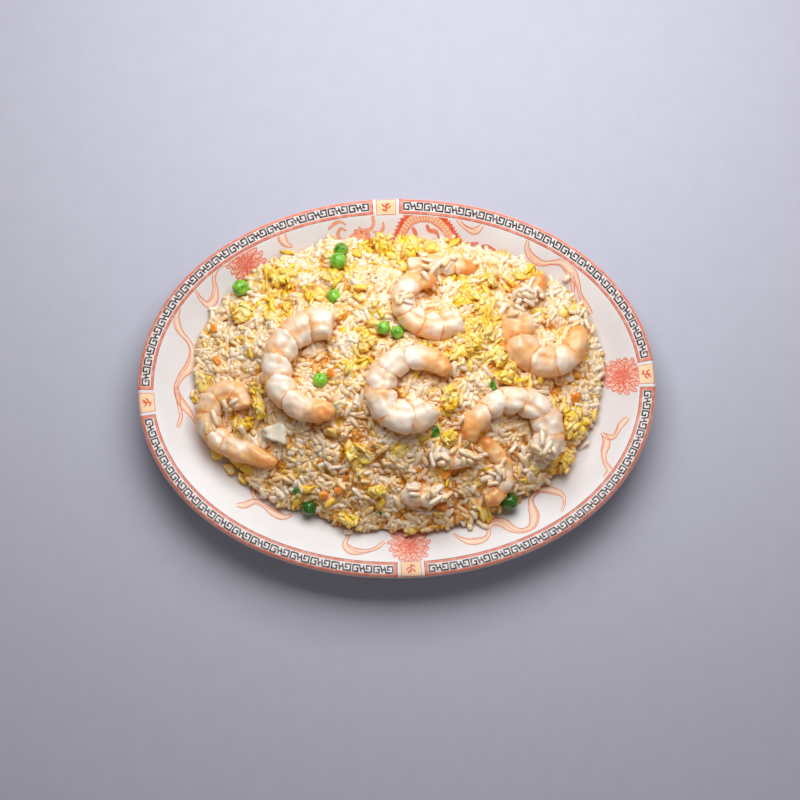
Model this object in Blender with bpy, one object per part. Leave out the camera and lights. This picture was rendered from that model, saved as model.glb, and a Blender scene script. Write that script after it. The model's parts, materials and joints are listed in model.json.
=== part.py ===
# Shrimp fried rice heaped on an oval printed platter.
# Metres, +Z up. The origin is under the middle of the platter, on the plane of its foot ring,
# and +X runs along the platter's long side.
import math

import bmesh
import bpy
from mathutils import Matrix, Vector, noise

MM = 0.001

# platter
HALF_LENGTH = 142.5 * MM
HALF_WIDTH = 106.0 * MM
FULLNESS = 2.05              # 2 is a true ellipse, more is squarer
RIM_TOP = 24.0 * MM
BAND_INNER = 9.0 * MM        # inset of the rim band's inner edge from the lip
BAND_INNER_Z = 22.6 * MM
FLOOR_INSET = 62.0 * MM      # inset at which the wall has run out into the floor
FLOOR_Z = 6.0 * MM
WALL = 3.3 * MM
FOOT_OUTER = 58.0 * MM
FOOT_INNER = 62.5 * MM
RECESS_Z = 2.6 * MM          # underside of the floor inside the foot ring
PLATTER_SIDES = 60

# rice heap
HEAP_MEAN_RADIUS = 97.1 * MM
HEAP_WAVES = ((1, 0.8, 4.6), (2, 15.6, -0.3), (3, 0.2, 2.2), (4, 0.7, 0.3))
HEAP_RISE = 39.0 * MM        # crest of the heap over the platter's floor, less the edge
HEAP_EDGE = 2.6 * MM         # thickness of the heap at its outline, about one grain
HEAP_SIDES = 52
HEAP_RINGS = 11
HEAP_CLEARANCE = 0.5 * MM    # under the heap, where both surfaces are faceted
GAP = 0.35 * MM              # between pieces that touch
HEAP_KEPT = 0.62             # share of the heap's faces kept after the slivers round pockets go
WELD = 0.08 * MM             # corners closer than this become one after a pocket is cut

# Each shrimp lies on its side. start is where the cut head end is, heading and turn are in
# degrees, lean shifts the bend towards one end, lift is the spine's height over the rice.
SHRIMPS = {
    "shrimp_1": dict(start=(-36.5, 29.5), heading=170, length=87, turn=210, lean=0.0, width=18.6, lift=4.6),
    "shrimp_2": dict(start=(16.0, -17.2), heading=-128, length=84, turn=-284, lean=0.35, width=18.4, lift=4.4),
    "shrimp_3": dict(start=(33.2, 31.0), heading=-158, length=61, turn=-245, lean=-0.65, width=15.8, lift=2.8),
    "shrimp_4": dict(start=(9.0, 63.2), heading=12, length=35, turn=-24, lean=0.0, width=13.0, lift=1.0),
    "shrimp_5": dict(start=(68.5, 34.0), heading=-117, length=63, turn=222, lean=0.0, width=19.0, lift=3.2),
    "shrimp_6": dict(start=(79.0, -38.0), heading=54, length=74, turn=206, lean=0.4, width=17.4, lift=3.6),
    "shrimp_7": dict(start=(-84.0, -10.4), heading=134, length=67, turn=196, lean=1.15, width=15.2, lift=3.0),
    "shrimp_8": dict(start=(49.0, -62.5), heading=18, length=40, turn=140, lean=0.5, width=12.6, lift=0.4),
    "shrimp_9": dict(start=(22.4, -40.2), heading=-26, length=22, turn=56, lean=0.0, width=13.0, lift=-1.0),
    "shrimp_10": dict(start=(5.0, -59.6), heading=-22, length=24, turn=48, lean=0.0, width=13.6, lift=-0.6),
    "shrimp_11": dict(start=(66.2, 47.6), heading=14, length=21, turn=70, lean=-0.4, width=13.4, lift=1.4),
}
SHRIMP_SIDES = 8
SHRIMP_RINGS = 11
SHRIMP_FLATNESS = 0.84       # thickness of the body over its width

# peas: place, radius, and depth of the centre under the rice surface
PEAS = {
    "pea_1": ((-86.0, 55.6), 4.8, -2.6),
    "pea_2": ((-30.2, 76.4), 4.0, 0.6),
    "pea_3": ((-31.6, 68.4), 4.9, -2.4),
    "pea_4": ((-33.6, 47.6), 4.2, 1.4),
    "pea_5": ((-6.8, 27.8), 3.8, 0.3),
    "pea_6": ((0.6, 25.4), 3.6, 0.9),
    "pea_7": ((-41.3, -0.2), 4.1, 1.2),
    "pea_8": ((61.0, -64.6), 5.2, -2.0),
    "pea_9": ((-48.6, -66.6), 4.4, -0.8),
}

# scrambled egg: place, length, width and thickness, direction of the length, bend in degrees
EGGS = {
    "egg_1": ((-83.4, 41.0), (15.0, 12.0, 8.0), 40, 20),
    "egg_2": ((-64.4, 60.6), (12.0, 10.5, 7.0), 100, 10),
    "egg_3": ((-6.4, 78.6), (14.5, 12.0, 8.0), 95, 15),
    "egg_4": ((7.4, 73.6), (10.5, 8.5, 6.5), 60, 0),
    "egg_5": ((-16.6, 18.8), (12.0, 8.0, 6.0), 60, 20),
    "egg_6": ((40.6, 48.4), (11.5, 8.0, 6.0), 150, 10),
    "egg_7": ((47.0, 36.4), (15.5, 9.0, 7.0), 100, 25),
    "egg_8": ((34.5, 14.2), (26.0, 7.6, 6.0), 28, 30),
    "egg_9": ((51.0, 56.2), (11.5, 7.0, 5.5), 25, 30),
    "egg_10": ((56.4, 10.6), (11.5, 7.0, 6.0), 75, 15),
    "egg_11": ((60.6, 1.2), (18.0, 7.4, 6.0), -14, 20),
    "egg_12": ((28.6, -12.0), (14.5, 9.5, 7.0), 60, 20),
    "egg_13": ((28.0, -31.4), (11.0, 5.6, 5.0), 15, 30),
    "egg_14": ((95.4, -21.8), (16.5, 9.0, 7.0), 80, 25),
    "egg_15": ((92.0, -42.0), (14.0, 6.6, 5.5), 70, 35),
    "egg_16": ((-74.4, -9.2), (24.0, 5.8, 6.0), 104, -62),
    "egg_17": ((-82.6, -22.0), (9.6, 7.0, 6.0), 30, 0),
    "egg_18": ((-27.4, -74.4), (15.0, 6.0, 5.0), -20, -80),
    "egg_19": ((-11.2, -59.8), (11.5, 9.0, 6.5), 0, 15),
}

LOOKS = {
    "platter": ((0.84, 0.82, 0.81), 0.22),
    "rice": ((0.87, 0.78, 0.60), 0.50),
    "shrimp": ((0.90, 0.72, 0.58), 0.32),
    "pea": ((0.16, 0.42, 0.04), 0.35),
    "egg": ((0.93, 0.70, 0.16), 0.48),
}


def clear_scene():
    for obj in list(bpy.data.objects):
        bpy.data.objects.remove(obj, do_unlink=True)


def make_looks():
    made = {}
    for name, (colour, roughness) in LOOKS.items():
        look = bpy.data.materials.new(name)
        look.use_nodes = True
        shader = look.node_tree.nodes["Principled BSDF"]
        shader.inputs["Base Color"].default_value = (*colour, 1.0)
        shader.inputs["Roughness"].default_value = roughness
        shader.inputs["Metallic"].default_value = 0.0
        made[name] = look
    return made


def new_object(name, bm, look):
    bmesh.ops.triangulate(bm, faces=bm.faces)
    bmesh.ops.recalc_face_normals(bm, faces=bm.faces)
    mesh = bpy.data.meshes.new(name)
    bm.to_mesh(mesh)
    bm.free()
    mesh.materials.append(look)
    mesh.shade_smooth()
    obj = bpy.data.objects.new(name, mesh)
    bpy.context.collection.objects.link(obj)
    return obj


def lofted(rings):
    # closed body through rings of points, each ring having the same number of points
    bm = bmesh.new()
    rows = [[bm.verts.new(point) for point in ring] for ring in rings]
    count = len(rows[0])
    for lower, upper in zip(rows, rows[1:]):
        for i in range(count):
            j = (i + 1) % count
            bm.faces.new((lower[i], lower[j], upper[j], upper[i]))
    for row in (rows[0], rows[-1]):
        middle = bm.verts.new(sum((vert.co for vert in row), Vector()) / count)
        for i in range(count):
            bm.faces.new((row[i], row[(i + 1) % count], middle))
    return bm


# ---- platter ----

def power(value):
    return math.copysign(abs(value) ** (2 / FULLNESS), value)


def oval_point(turn, inset, height):
    across = (HALF_LENGTH - inset) * power(math.cos(turn))
    along = (HALF_WIDTH - inset) * power(math.sin(turn))
    return Vector((across, along, height))


def wall_curve(t):
    # one Bezier from the rim band's inner edge down to the floor: inset and height
    ends = ((BAND_INNER, BAND_INNER_Z), (17 * MM, 19.6 * MM), (34 * MM, FLOOR_Z), (FLOOR_INSET, FLOOR_Z))
    weights = ((1 - t) ** 3, 3 * t * (1 - t) ** 2, 3 * t * t * (1 - t), t ** 3)
    return tuple(sum(w * end[k] for w, end in zip(weights, ends)) for k in (0, 1))


def inset_at(x, y):
    # how far inside the platter's outline a place lies
    low, high = 0.0, HALF_WIDTH - 0.1 * MM
    for _ in range(30):
        middle = (low + high) / 2
        reach = (abs(x) / (HALF_LENGTH - middle)) ** FULLNESS + (abs(y) / (HALF_WIDTH - middle)) ** FULLNESS
        if reach > 1:
            high = middle
        else:
            low = middle
    return low


def platter_top(x, y):
    inset = inset_at(x, y)
    if inset >= FLOOR_INSET:
        return FLOOR_Z
    low, high = 0.0, 1.0
    for _ in range(30):
        middle = (low + high) / 2
        if wall_curve(middle)[0] < inset:
            low = middle
        else:
            high = middle
    return wall_curve(low)[1]


def platter_profile():
    # inset and height from the floor's middle over the lip and back under to the foot
    top = [wall_curve(t) for t in (1.0, 0.84, 0.7, 0.57, 0.45, 0.33, 0.2, 0.0)]
    lip = [(2.0 * MM, RIM_TOP), (0.7 * MM, RIM_TOP - 0.5 * MM), (0.0, RIM_TOP - 1.7 * MM),
           (0.5 * MM, RIM_TOP - 3.0 * MM), (1.8 * MM, RIM_TOP - 3.7 * MM)]
    under = [(BAND_INNER + 1.5 * MM, BAND_INNER_Z - WALL - 0.6 * MM), (24 * MM, 10.8 * MM),
             (40 * MM, 4.6 * MM), (FOOT_OUTER - 3 * MM, 2.4 * MM)]
    foot = [(FOOT_OUTER, 0.0), (FOOT_INNER, 0.0), (FOOT_INNER + 2 * MM, RECESS_Z)]
    return top + lip + under + foot


def make_platter(look):
    rings = []
    for inset, height in platter_profile():
        rings.append([oval_point(math.tau * i / PLATTER_SIDES, inset, height) for i in range(PLATTER_SIDES)])
    return new_object("platter", lofted(rings), look)


# ---- rice heap ----

def heap_radius(turn):
    radius = HEAP_MEAN_RADIUS
    for wave, cosine, sine in HEAP_WAVES:
        radius += (cosine * math.cos(wave * turn) + sine * math.sin(wave * turn)) * MM
    ragged = noise.noise(Vector((math.cos(turn) * 5, math.sin(turn) * 5, 0.3)))
    return radius + 3.0 * MM * ragged


def heap_top(x, y):
    # height of the rice over a place, without its fine unevenness
    share = min(math.hypot(x, y) / heap_radius(math.atan2(y, x)), 1.0)
    return platter_top(x, y) + HEAP_EDGE + HEAP_RISE * (1 - share ** 2.3) ** 0.9


def heap_lumps(x, y, share):
    wide = noise.noise(Vector((x * 28, y * 28, 1.7)))
    fine = noise.noise(Vector((x * 90, y * 90, 5.1)))
    return (3.0 * wide + 1.8 * fine) * MM * min(1.0, 3.0 * (1 - share))


def make_heap(look):
    shares = [1 - (1 - k / HEAP_RINGS) ** 1.25 for k in range(1, HEAP_RINGS + 1)]
    under = (0.97, 0.8, 0.55, 0.25)
    rings = []
    for share in shares + list(under):
        ring = []
        is_top = len(rings) < HEAP_RINGS
        for i in range(HEAP_SIDES):
            turn = math.tau * i / HEAP_SIDES
            reach = heap_radius(turn) * share
            x = reach * math.cos(turn)
            y = reach * math.sin(turn)
            if is_top:
                height = heap_top(x, y) + heap_lumps(x, y, share)
            else:
                height = platter_top(x, y) + HEAP_CLEARANCE
            ring.append(Vector((x, y, height)))
        rings.append(ring)
    return new_object("rice_heap", lofted(rings), look)


def keep_largest(obj):
    # cutting pockets near the edge can part off crumbs, which go
    bm = bmesh.new()
    bm.from_mesh(obj.data)
    groups = []
    seen = set()
    for first in bm.verts:
        if first in seen:
            continue
        seen.add(first)
        group = [first]
        for vert in group:
            for edge in vert.link_edges:
                other = edge.other_vert(vert)
                if other not in seen:
                    seen.add(other)
                    group.append(other)
        groups.append(group)
    groups.sort(key=len)
    for group in groups[:-1]:
        bmesh.ops.delete(bm, geom=group, context="VERTS")
    bmesh.ops.remove_doubles(bm, verts=bm.verts, dist=WELD)
    bm.to_mesh(obj.data)
    bm.free()


def cut_pocket(body, cutter):
    cut = body.modifiers.new("pocket", "BOOLEAN")
    cut.operation = "DIFFERENCE"
    cut.object = cutter
    depsgraph = bpy.context.evaluated_depsgraph_get()
    mesh = bpy.data.meshes.new_from_object(body.evaluated_get(depsgraph))
    body.modifiers.clear()
    body.data = mesh
    bpy.data.objects.remove(cutter, do_unlink=True)
    keep_largest(body)


# ---- toppings ----

def shrimp_spine(spec, count):
    # middle line of the bent body, following the rice under it at half its slope
    points = []
    headings = []
    steps = (count - 1) * 6
    place = Vector(spec["start"]) * MM
    step = spec["length"] * MM / steps
    for k in range(steps + 1):
        t = k / steps
        heading = math.radians(spec["heading"] + spec["turn"] * (t + spec["lean"] * t * (1 - t)))
        if k % 6 == 0:
            points.append(place.copy())
            headings.append(heading)
        place += step * Vector((math.cos(heading), math.sin(heading)))
    levels = [heap_top(p.x, p.y) for p in points]
    mean = sum(levels) / len(levels)
    heights = [0.55 * level + 0.45 * mean + spec["lift"] * MM for level in levels]
    return [Vector((p.x, p.y, z)) for p, z in zip(points, heights)], headings


def shrimp_girth(t):
    # body width along the length: blunt head end, six ringed segments, slim tail
    taper = 1 - 0.42 * max(0.0, t - 0.12) ** 1.5
    ringed = 1 + 0.035 * math.sin(math.tau * (5.5 * t + 0.1))
    tail = math.sqrt(max(0.0, 1 - max(0.0, (t - 0.84) / 0.165) ** 2))
    head = 0.90 + 0.10 * min(1.0, t / 0.08)
    return taper * ringed * (0.26 + 0.74 * tail) * head


def make_shrimp(name, spec, look, grow=0.0):
    spine, headings = shrimp_spine(spec, SHRIMP_RINGS)
    last = SHRIMP_RINGS - 1
    rings = []
    for k, (centre, heading) in enumerate(zip(spine, headings)):
        ahead = spine[min(k + 1, last)] - spine[max(k - 1, 0)]
        forward = ahead.normalized()
        side = Vector((-math.sin(heading), math.cos(heading), 0.0))
        up = forward.cross(side).normalized()
        if up.z < 0:
            up = -up
        half = spec["width"] * MM / 2 * shrimp_girth(k / last) + grow
        rise = spec["width"] * MM / 2 * SHRIMP_FLATNESS * shrimp_girth(k / last) + grow
        shift = forward * (grow if k == last else -grow if k == 0 else 0.0)
        ring = []
        for i in range(SHRIMP_SIDES):
            turn = math.tau * (i + 0.5) / SHRIMP_SIDES
            ring.append(centre + shift + side * half * math.cos(turn) + up * rise * math.sin(turn))
        rings.append(ring)
    return new_object(name, lofted(rings), look)


def make_pea(name, spec, look, grow=0.0):
    (x, y), radius, depth = spec
    bm = bmesh.new()
    bmesh.ops.create_icosphere(bm, subdivisions=2, radius=radius * MM + grow)
    height = heap_top(x * MM, y * MM) - depth * MM
    bmesh.ops.transform(bm, matrix=Matrix.Translation((x * MM, y * MM, height)), verts=bm.verts)
    return new_object(name, bm, look)


def make_egg(name, spec, look, grow=0.0):
    (x, y), (length, width, thick), heading, bend = spec
    seed = 10 * (int(name.split("_")[1]) + 1)
    bm = bmesh.new()
    bmesh.ops.create_icosphere(bm, subdivisions=2, radius=1.0)
    for vert in bm.verts:
        lump = 1 + 0.20 * noise.noise(vert.co * 1.6 + Vector((seed, 0, 0)))
        shaped = Vector((vert.co.x * length, vert.co.y * width, vert.co.z * thick)) * (0.5 * MM * lump)
        arc = math.radians(bend) * shaped.x / (length * MM)
        if bend:
            radius = length * MM / math.radians(bend)
            out = radius + shaped.y
            shaped = Vector((out * math.sin(arc), out * math.cos(arc) - radius, shaped.z))
        vert.co = shaped
    if grow:
        bm.normal_update()
        for vert in bm.verts:
            vert.co = vert.co + vert.normal * grow
    height = heap_top(x * MM, y * MM) + thick * MM * 0.12
    place = Matrix.Translation((x * MM, y * MM, height)) @ Matrix.Rotation(math.radians(heading), 4, "Z")
    bmesh.ops.transform(bm, matrix=place, verts=bm.verts)
    return new_object(name, bm, look)


def build():
    clear_scene()
    looks = make_looks()
    make_platter(looks["platter"])
    heap = make_heap(looks["rice"])
    for specs, maker, look in ((SHRIMPS, make_shrimp, "shrimp"), (PEAS, make_pea, "pea"), (EGGS, make_egg, "egg")):
        for name, spec in specs.items():
            maker(name, spec, looks[look])
            cut_pocket(heap, maker(name + "_room", spec, looks[look], grow=GAP))
    thinned = heap.modifiers.new("thinned", "DECIMATE")
    thinned.ratio = HEAP_KEPT
    thinned.use_collapse_triangulate = True


build()
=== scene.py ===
import json
import math
import random

import bmesh
import bpy
import numpy as np
from mathutils import Matrix, Vector, noise
from mathutils.bvhtree import BVHTree

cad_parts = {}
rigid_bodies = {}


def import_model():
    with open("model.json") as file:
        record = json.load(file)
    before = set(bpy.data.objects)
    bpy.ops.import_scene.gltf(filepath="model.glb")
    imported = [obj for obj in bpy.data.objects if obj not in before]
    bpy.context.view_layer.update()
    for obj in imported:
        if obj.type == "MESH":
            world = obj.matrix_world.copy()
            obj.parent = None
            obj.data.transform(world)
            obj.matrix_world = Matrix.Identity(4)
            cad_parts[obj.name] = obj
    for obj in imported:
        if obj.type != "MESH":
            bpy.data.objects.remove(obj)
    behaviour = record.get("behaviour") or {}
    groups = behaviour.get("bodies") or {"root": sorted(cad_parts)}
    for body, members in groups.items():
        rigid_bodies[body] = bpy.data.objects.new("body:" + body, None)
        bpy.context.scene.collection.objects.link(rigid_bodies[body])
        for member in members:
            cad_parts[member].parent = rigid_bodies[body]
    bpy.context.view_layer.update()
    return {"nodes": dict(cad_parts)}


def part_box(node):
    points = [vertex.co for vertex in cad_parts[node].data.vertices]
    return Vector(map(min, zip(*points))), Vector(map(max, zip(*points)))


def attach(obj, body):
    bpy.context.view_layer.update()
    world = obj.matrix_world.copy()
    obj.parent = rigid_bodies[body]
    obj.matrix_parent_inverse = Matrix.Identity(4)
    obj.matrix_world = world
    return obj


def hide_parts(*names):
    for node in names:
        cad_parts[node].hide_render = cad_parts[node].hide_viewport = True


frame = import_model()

# Shrimp fried rice on an oval printed platter. Metres, +Z up, +X along the long side.
mm = 0.001
tau = math.tau
rayHeight = 0.1    # above everything
print("frame loaded:", len(frame["nodes"]), "nodes")


# Node building. A Wire is one output of a node, and arithmetic on it adds Math nodes.
class Wire:
    def __init__(self, graph, socket):
        self.graph, self.socket = graph, socket

    def maths(self, operation, *others):
        return self.graph.node("ShaderNodeMath", {"operation": operation}, dict(enumerate((self,) + others)))

    def __add__(self, other): return self.maths("ADD", other)
    def __sub__(self, other): return self.maths("SUBTRACT", other)
    def __mul__(self, other): return self.maths("MULTIPLY", other)
    def __truediv__(self, other): return self.maths("DIVIDE", other)
    def __pow__(self, other): return self.maths("POWER", other)
    def __rtruediv__(self, other): return self ** -1 * other
    __radd__ = __add__
    __rmul__ = __mul__

    def other(self, name):    # another output of the same node
        return Wire(self.graph, pick(self.socket.node.outputs, name))

    def within(self, low, high, start=0.0, end=1.0):    # smooth step from start to end
        return self.graph.node("ShaderNodeMapRange", {"interpolation_type": "SMOOTHSTEP"}, {
            "Value": self, "From Min": low, "From Max": high, "To Min": start, "To Max": end})


def pick(sockets, key):
    if isinstance(key, int):
        return sockets[key]
    return next(s for s in sockets if s.name == key and s.enabled)


class Graph:
    def __init__(self, tree):
        self.tree = tree

    def node(self, kind, settings=None, sockets=None, out=0):
        made = self.tree.nodes.new(kind)
        for key, value in (settings or {}).items():
            setattr(made, key, value)
        for key, value in (sockets or {}).items():
            self.plug(pick(made.inputs, key), value)
        return Wire(self, pick(made.outputs, out)) if made.outputs else None

    def plug(self, socket, value):
        if isinstance(value, Wire):
            self.tree.links.new(value.socket, socket)
        else:
            socket.default_value = value

    def vector(self, operation, *values):
        return self.node("ShaderNodeVectorMath", {"operation": operation}, dict(enumerate(values)))

    def scaled(self, vector, factor):
        return self.node("ShaderNodeVectorMath", {"operation": "SCALE"}, {0: vector, "Scale": factor})

    def split(self, vector):
        return self.node("ShaderNodeSeparateXYZ", {}, {0: vector})

    def vectorOf(self, x=0.0, y=0.0, z=0.0):
        return self.node("ShaderNodeCombineXYZ", {}, {"X": x, "Y": y, "Z": z})

    def mix(self, share, first, second, blend="MIX"):    # two wires or screen colours
        first, second = (c if isinstance(c, Wire) else tone(*c) for c in (first, second))
        return self.node("ShaderNodeMix", {"data_type": "RGBA", "blend_type": blend},
                         {"Factor": share, "A": first, "B": second}, "Result")

    def noise(self, scale, detail, place=None):    # its grey value, with scale in bumps a metre
        place = place or self.place()
        return self.node("ShaderNodeTexNoise", {}, {"Vector": place, "Scale": scale, "Detail": detail})

    def bump(self, strength, depth, height):    # depth in mm
        sockets = {"Strength": strength, "Distance": depth * mm, "Height": height}
        return self.node("ShaderNodeBump", {}, sockets)

    def place(self):
        return self.node("ShaderNodeTexCoord", {}, {}, "Object")

    def attribute(self, name, out="Fac"):
        return self.node("ShaderNodeAttribute", {"attribute_name": name}, {}, out)


def tone(red, green, blue):    # a screen colour as scene-linear RGBA
    linear = [((c / 255 + 0.055) / 1.055) ** 2.4 if c > 10 else c / 3295 for c in (red, green, blue)]
    return (*linear, 1.0)


shaderInputs = {
    "specular": "Specular IOR Level", "ior": "IOR", "coat": "Coat Weight", "coatRoughness": "Coat Roughness",
    "soft": "Subsurface Weight", "softScale": "Subsurface Scale", "softRadius": "Subsurface Radius",
}


def finish(name, build, **constants):
    # a Principled material; build(graph) returns what varies over the surface
    material = bpy.data.materials.new(name)
    material.use_nodes = True
    tree = material.node_tree
    shader = tree.nodes["Principled BSDF"]
    for label, value in constants.items():
        shader.inputs[shaderInputs[label]].default_value = value
    graph = Graph(tree)
    for label, value in build(graph).items():
        graph.plug(shader.inputs[label], value)
    return material


class Recipe(Graph):    # a Geometry Nodes tree with named inputs
    def __init__(self, name, inputs):
        super().__init__(bpy.data.node_groups.new(name, "GeometryNodeTree"))
        face = self.tree.interface
        face.new_socket("Geometry", in_out="INPUT", socket_type="NodeSocketGeometry")
        for label, kind in inputs.items():
            face.new_socket(label, in_out="INPUT", socket_type="NodeSocket" + kind)
        face.new_socket("material", in_out="INPUT", socket_type="NodeSocketMaterial")
        face.new_socket("Geometry", in_out="OUTPUT", socket_type="NodeSocketGeometry")
        self.entry = self.tree.nodes.new("NodeGroupInput")

    def given(self, label):
        return Wire(self, self.entry.outputs[label])

    def close(self, geometry):
        solid = self.node("GeometryNodeRealizeInstances", {}, {"Geometry": geometry})
        coloured = self.node("GeometryNodeSetMaterial", {}, {
            "Geometry": solid, "Material": self.given("material")})
        self.node("NodeGroupOutput", {}, {"Geometry": coloured})
        return self


def objectOf(name, mesh):
    made = bpy.data.objects.new(name, mesh)
    bpy.context.scene.collection.objects.link(made)
    return made


def meshOf(name, points, faces):
    mesh = bpy.data.meshes.new(name)
    mesh.from_pydata([tuple(p) for p in points], [], list(faces))
    return mesh


def mark(mesh, label, values, kind="FLOAT", field="value"):
    # keeps one value for each point, for the looks
    mesh.attributes.new(label, kind, "POINT").data.foreach_set(field, values)


def drop(*objects):
    for thing in objects:
        bpy.data.objects.remove(thing, do_unlink=True)


def grow(recipe, source, name, material, **values):
    # runs a recipe on an object and returns the result as a plain mesh object
    live = source.modifiers.new(name, "NODES")
    live.node_group = recipe.tree
    values["material"] = material
    for item in recipe.tree.interface.items_tree:
        if item.in_out == "INPUT" and item.name in values:
            live[item.identifier] = values[item.name]
    depsgraph = bpy.context.evaluated_depsgraph_get()
    mesh = bpy.data.meshes.new_from_object(
        source.evaluated_get(depsgraph), preserve_all_data_layers=True, depsgraph=depsgraph)
    source.modifiers.remove(live)
    mesh.name = name
    return objectOf(name, coated(mesh, material))


def coated(mesh, material):
    # the mesh with this one material
    mesh.materials.clear()
    mesh.materials.append(material)
    mesh.polygons.foreach_set("material_index", [0] * len(mesh.polygons))
    return mesh


def joined(name, pieces):
    # one object from several, which go
    bm = bmesh.new()
    for piece in pieces:
        bm.from_mesh(piece.data)
    mesh = bpy.data.meshes.new(name)
    bm.to_mesh(mesh)
    bm.free()
    for material in pieces[0].data.materials:
        mesh.materials.append(material)
    drop(*pieces)
    return objectOf(name, mesh)


def settle(piece, slot, *replaced, smooth=True):
    # last step of every piece: shading, body and the nodes it stands for
    if smooth:
        piece.data.shade_smooth()
    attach(piece, "root")
    if replaced:
        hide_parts(*replaced)
    print(piece.name, len(piece.data.vertices), "points,", len(piece.data.polygons), "faces")


def clipped(value):
    return min(1.0, max(0.0, value))


def castDown(tree, x, y):
    # where a line down from above a place in mm meets the tree, and the normal there
    return tree.ray_cast(Vector((x * mm, y * mm, rayHeight)), Vector((0, 0, -1)))[:2]


def standing(normal, heading):
    # a turn about +Z and then of +Z to the normal
    return normal.to_track_quat("Z", "Y").to_matrix().to_4x4() @ Matrix.Rotation(heading, 4, "Z")


def ball(subdivisions, radius=1.0):
    bm = bmesh.new()
    bmesh.ops.create_icosphere(bm, subdivisions=subdivisions, radius=radius)
    return bm


def smoothPath(points, step):
    # a Catmull-Rom line through the points, with corners about step apart
    ends = [2 * points[0] - points[1]] + list(points) + [2 * points[-1] - points[-2]]
    path = []
    for a, b, c, d in zip(ends, ends[1:], ends[2:], ends[3:]):
        count = max(1, math.ceil((c - b).length / step))
        for k in range(count):
            t = k / count
            path.append(0.5 * (2 * b + (c - a) * t + (2 * a - 5 * b + 4 * c - d) * t * t
                               + (3 * b - 3 * c + d - a) * t ** 3))
    return path + [points[-1]]


# Camera, floor and light.
view = {"target": (0.0, 0.0, 0.022), "distance": 1.1, "elevation": 80, "lens": 90, "right": 1.76, "up": -7.9}
studio = {
    "floorColour": (190, 190, 205), "floorSize": 4.0,
    "keyPlace": (0.035, 0.29, 0.44), "keySize": (0.52, 0.40), "keyPower": 3.55,
    "fillPlace": (0.1, -1.0, 0.9), "fillSize": (1.2, 0.8), "fillPower": 1.3,
    "skyColour": (234, 226, 222), "skyStrength": 0.14,
}


def aimed(thing, place, target):
    thing.location = place
    thing.rotation_euler = (Vector(target) - Vector(place)).to_track_quat("-Z", "Y").to_euler()
    return thing


def makeStage():
    scene = bpy.context.scene
    lift = math.radians(view["elevation"])
    toward = Vector((0, -math.cos(lift), math.sin(lift)))
    up = Vector((0, math.sin(lift), math.cos(lift)))
    target = Vector(view["target"])
    lens = bpy.data.cameras.new("camera")
    lens.lens, lens.sensor_width = view["lens"], 36
    camera = objectOf("camera", lens)
    aimed(camera, target + toward * view["distance"],
          target + Vector((view["right"] * mm, 0, 0)) + up * view["up"] * mm)
    scene.camera = camera
    for part in ("key", "fill"):
        lamp = bpy.data.lights.new(part, "AREA")
        lamp.shape = "RECTANGLE"
        lamp.size, lamp.size_y = studio[part + "Size"]
        lamp.energy = studio[part + "Power"]
        aimed(objectOf(part, lamp), studio[part + "Place"], (0, 0, 0))
    scene.world = bpy.data.worlds.new("sky")
    scene.world.use_nodes = True
    sky = scene.world.node_tree.nodes["Background"]
    sky.inputs["Color"].default_value = tone(*studio["skyColour"])
    sky.inputs["Strength"].default_value = studio["skyStrength"]
    scene.view_settings.view_transform = "Standard"
    half = studio["floorSize"] / 2
    floor = objectOf("floor", meshOf("floor", [(-half, -half, 0), (half, -half, 0), (half, half, 0),
                                               (-half, half, 0)], [(0, 1, 2, 3)]))

    def paper(g):
        speck = g.noise(90, 4)
        darker = [0.9 * c for c in studio["floorColour"]]
        return {"Base Color": g.mix(speck.within(0.35, 0.65, 0.0, 0.10), studio["floorColour"], darker),
                "Roughness": speck * 0.1 + 0.62}

    floor.data.materials.append(finish("paper", paper, specular=0.25))


makeStage()
print("stage set")


# The platter: one profile bent round into the oval.
platter = {
    "halfLength": 142.5, "halfWidth": 106.0, "fullness": 2.05, "sides": 360,
    "wall": ((9.0, 22.6), (17.0, 19.6), (34.0, 6.0), (62.0, 6.0)),    # inset and height, one Bezier
    "lip": ((5.0, 23.55), (2.4, 23.98), (1.3, 23.85), (0.45, 23.2), (0.02, 22.3), (0.4, 21.1), (1.8, 20.3)),
    "under": ((10.5, 18.7), (24.0, 10.8), (40.0, 4.6), (54.0, 2.4), (57.0, 1.6)),
    "foot": ((57.8, 0.5), (58.6, 0.02), (60.2, 0.0), (61.9, 0.02), (62.8, 0.6), (63.6, 2.0), (65.5, 2.6)),
    "glaze": (234, 231, 231), "glazeShade": (226, 221, 221),
}


def flat(points):
    return [Vector((x, y)) for x, y in points]


def wallCurve(t):
    weights = ((1 - t) ** 3, 3 * t * (1 - t) ** 2, 3 * t * t * (1 - t), t ** 3)
    return [sum(w * end[k] for w, end in zip(weights, platter["wall"])) for k in (0, 1)]


def platterProfile():
    # rows of inset, share of the oval's size left, and height, from the floor's middle round to the foot's
    top = [wallCurve(1 - k / 26) for k in range(27)]
    outside = smoothPath(flat([top[-1], *platter["lip"], *platter["under"], *platter["foot"]]), 1.0)
    rows = [(62.0, share, 6.0) for share in (0.0, 0.3, 0.6, 0.85)]
    rows += [(inset, 1.0, height) for inset, height in top[:-1]]
    rows += [(p.x, 1.0, p.y) for p in outside]
    rows += [(65.5, share, 2.6) for share in (0.8, 0.5, 0.2, 0.0)]
    return [Vector((inset * mm, share, height * mm)) for inset, share, height in rows]


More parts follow.
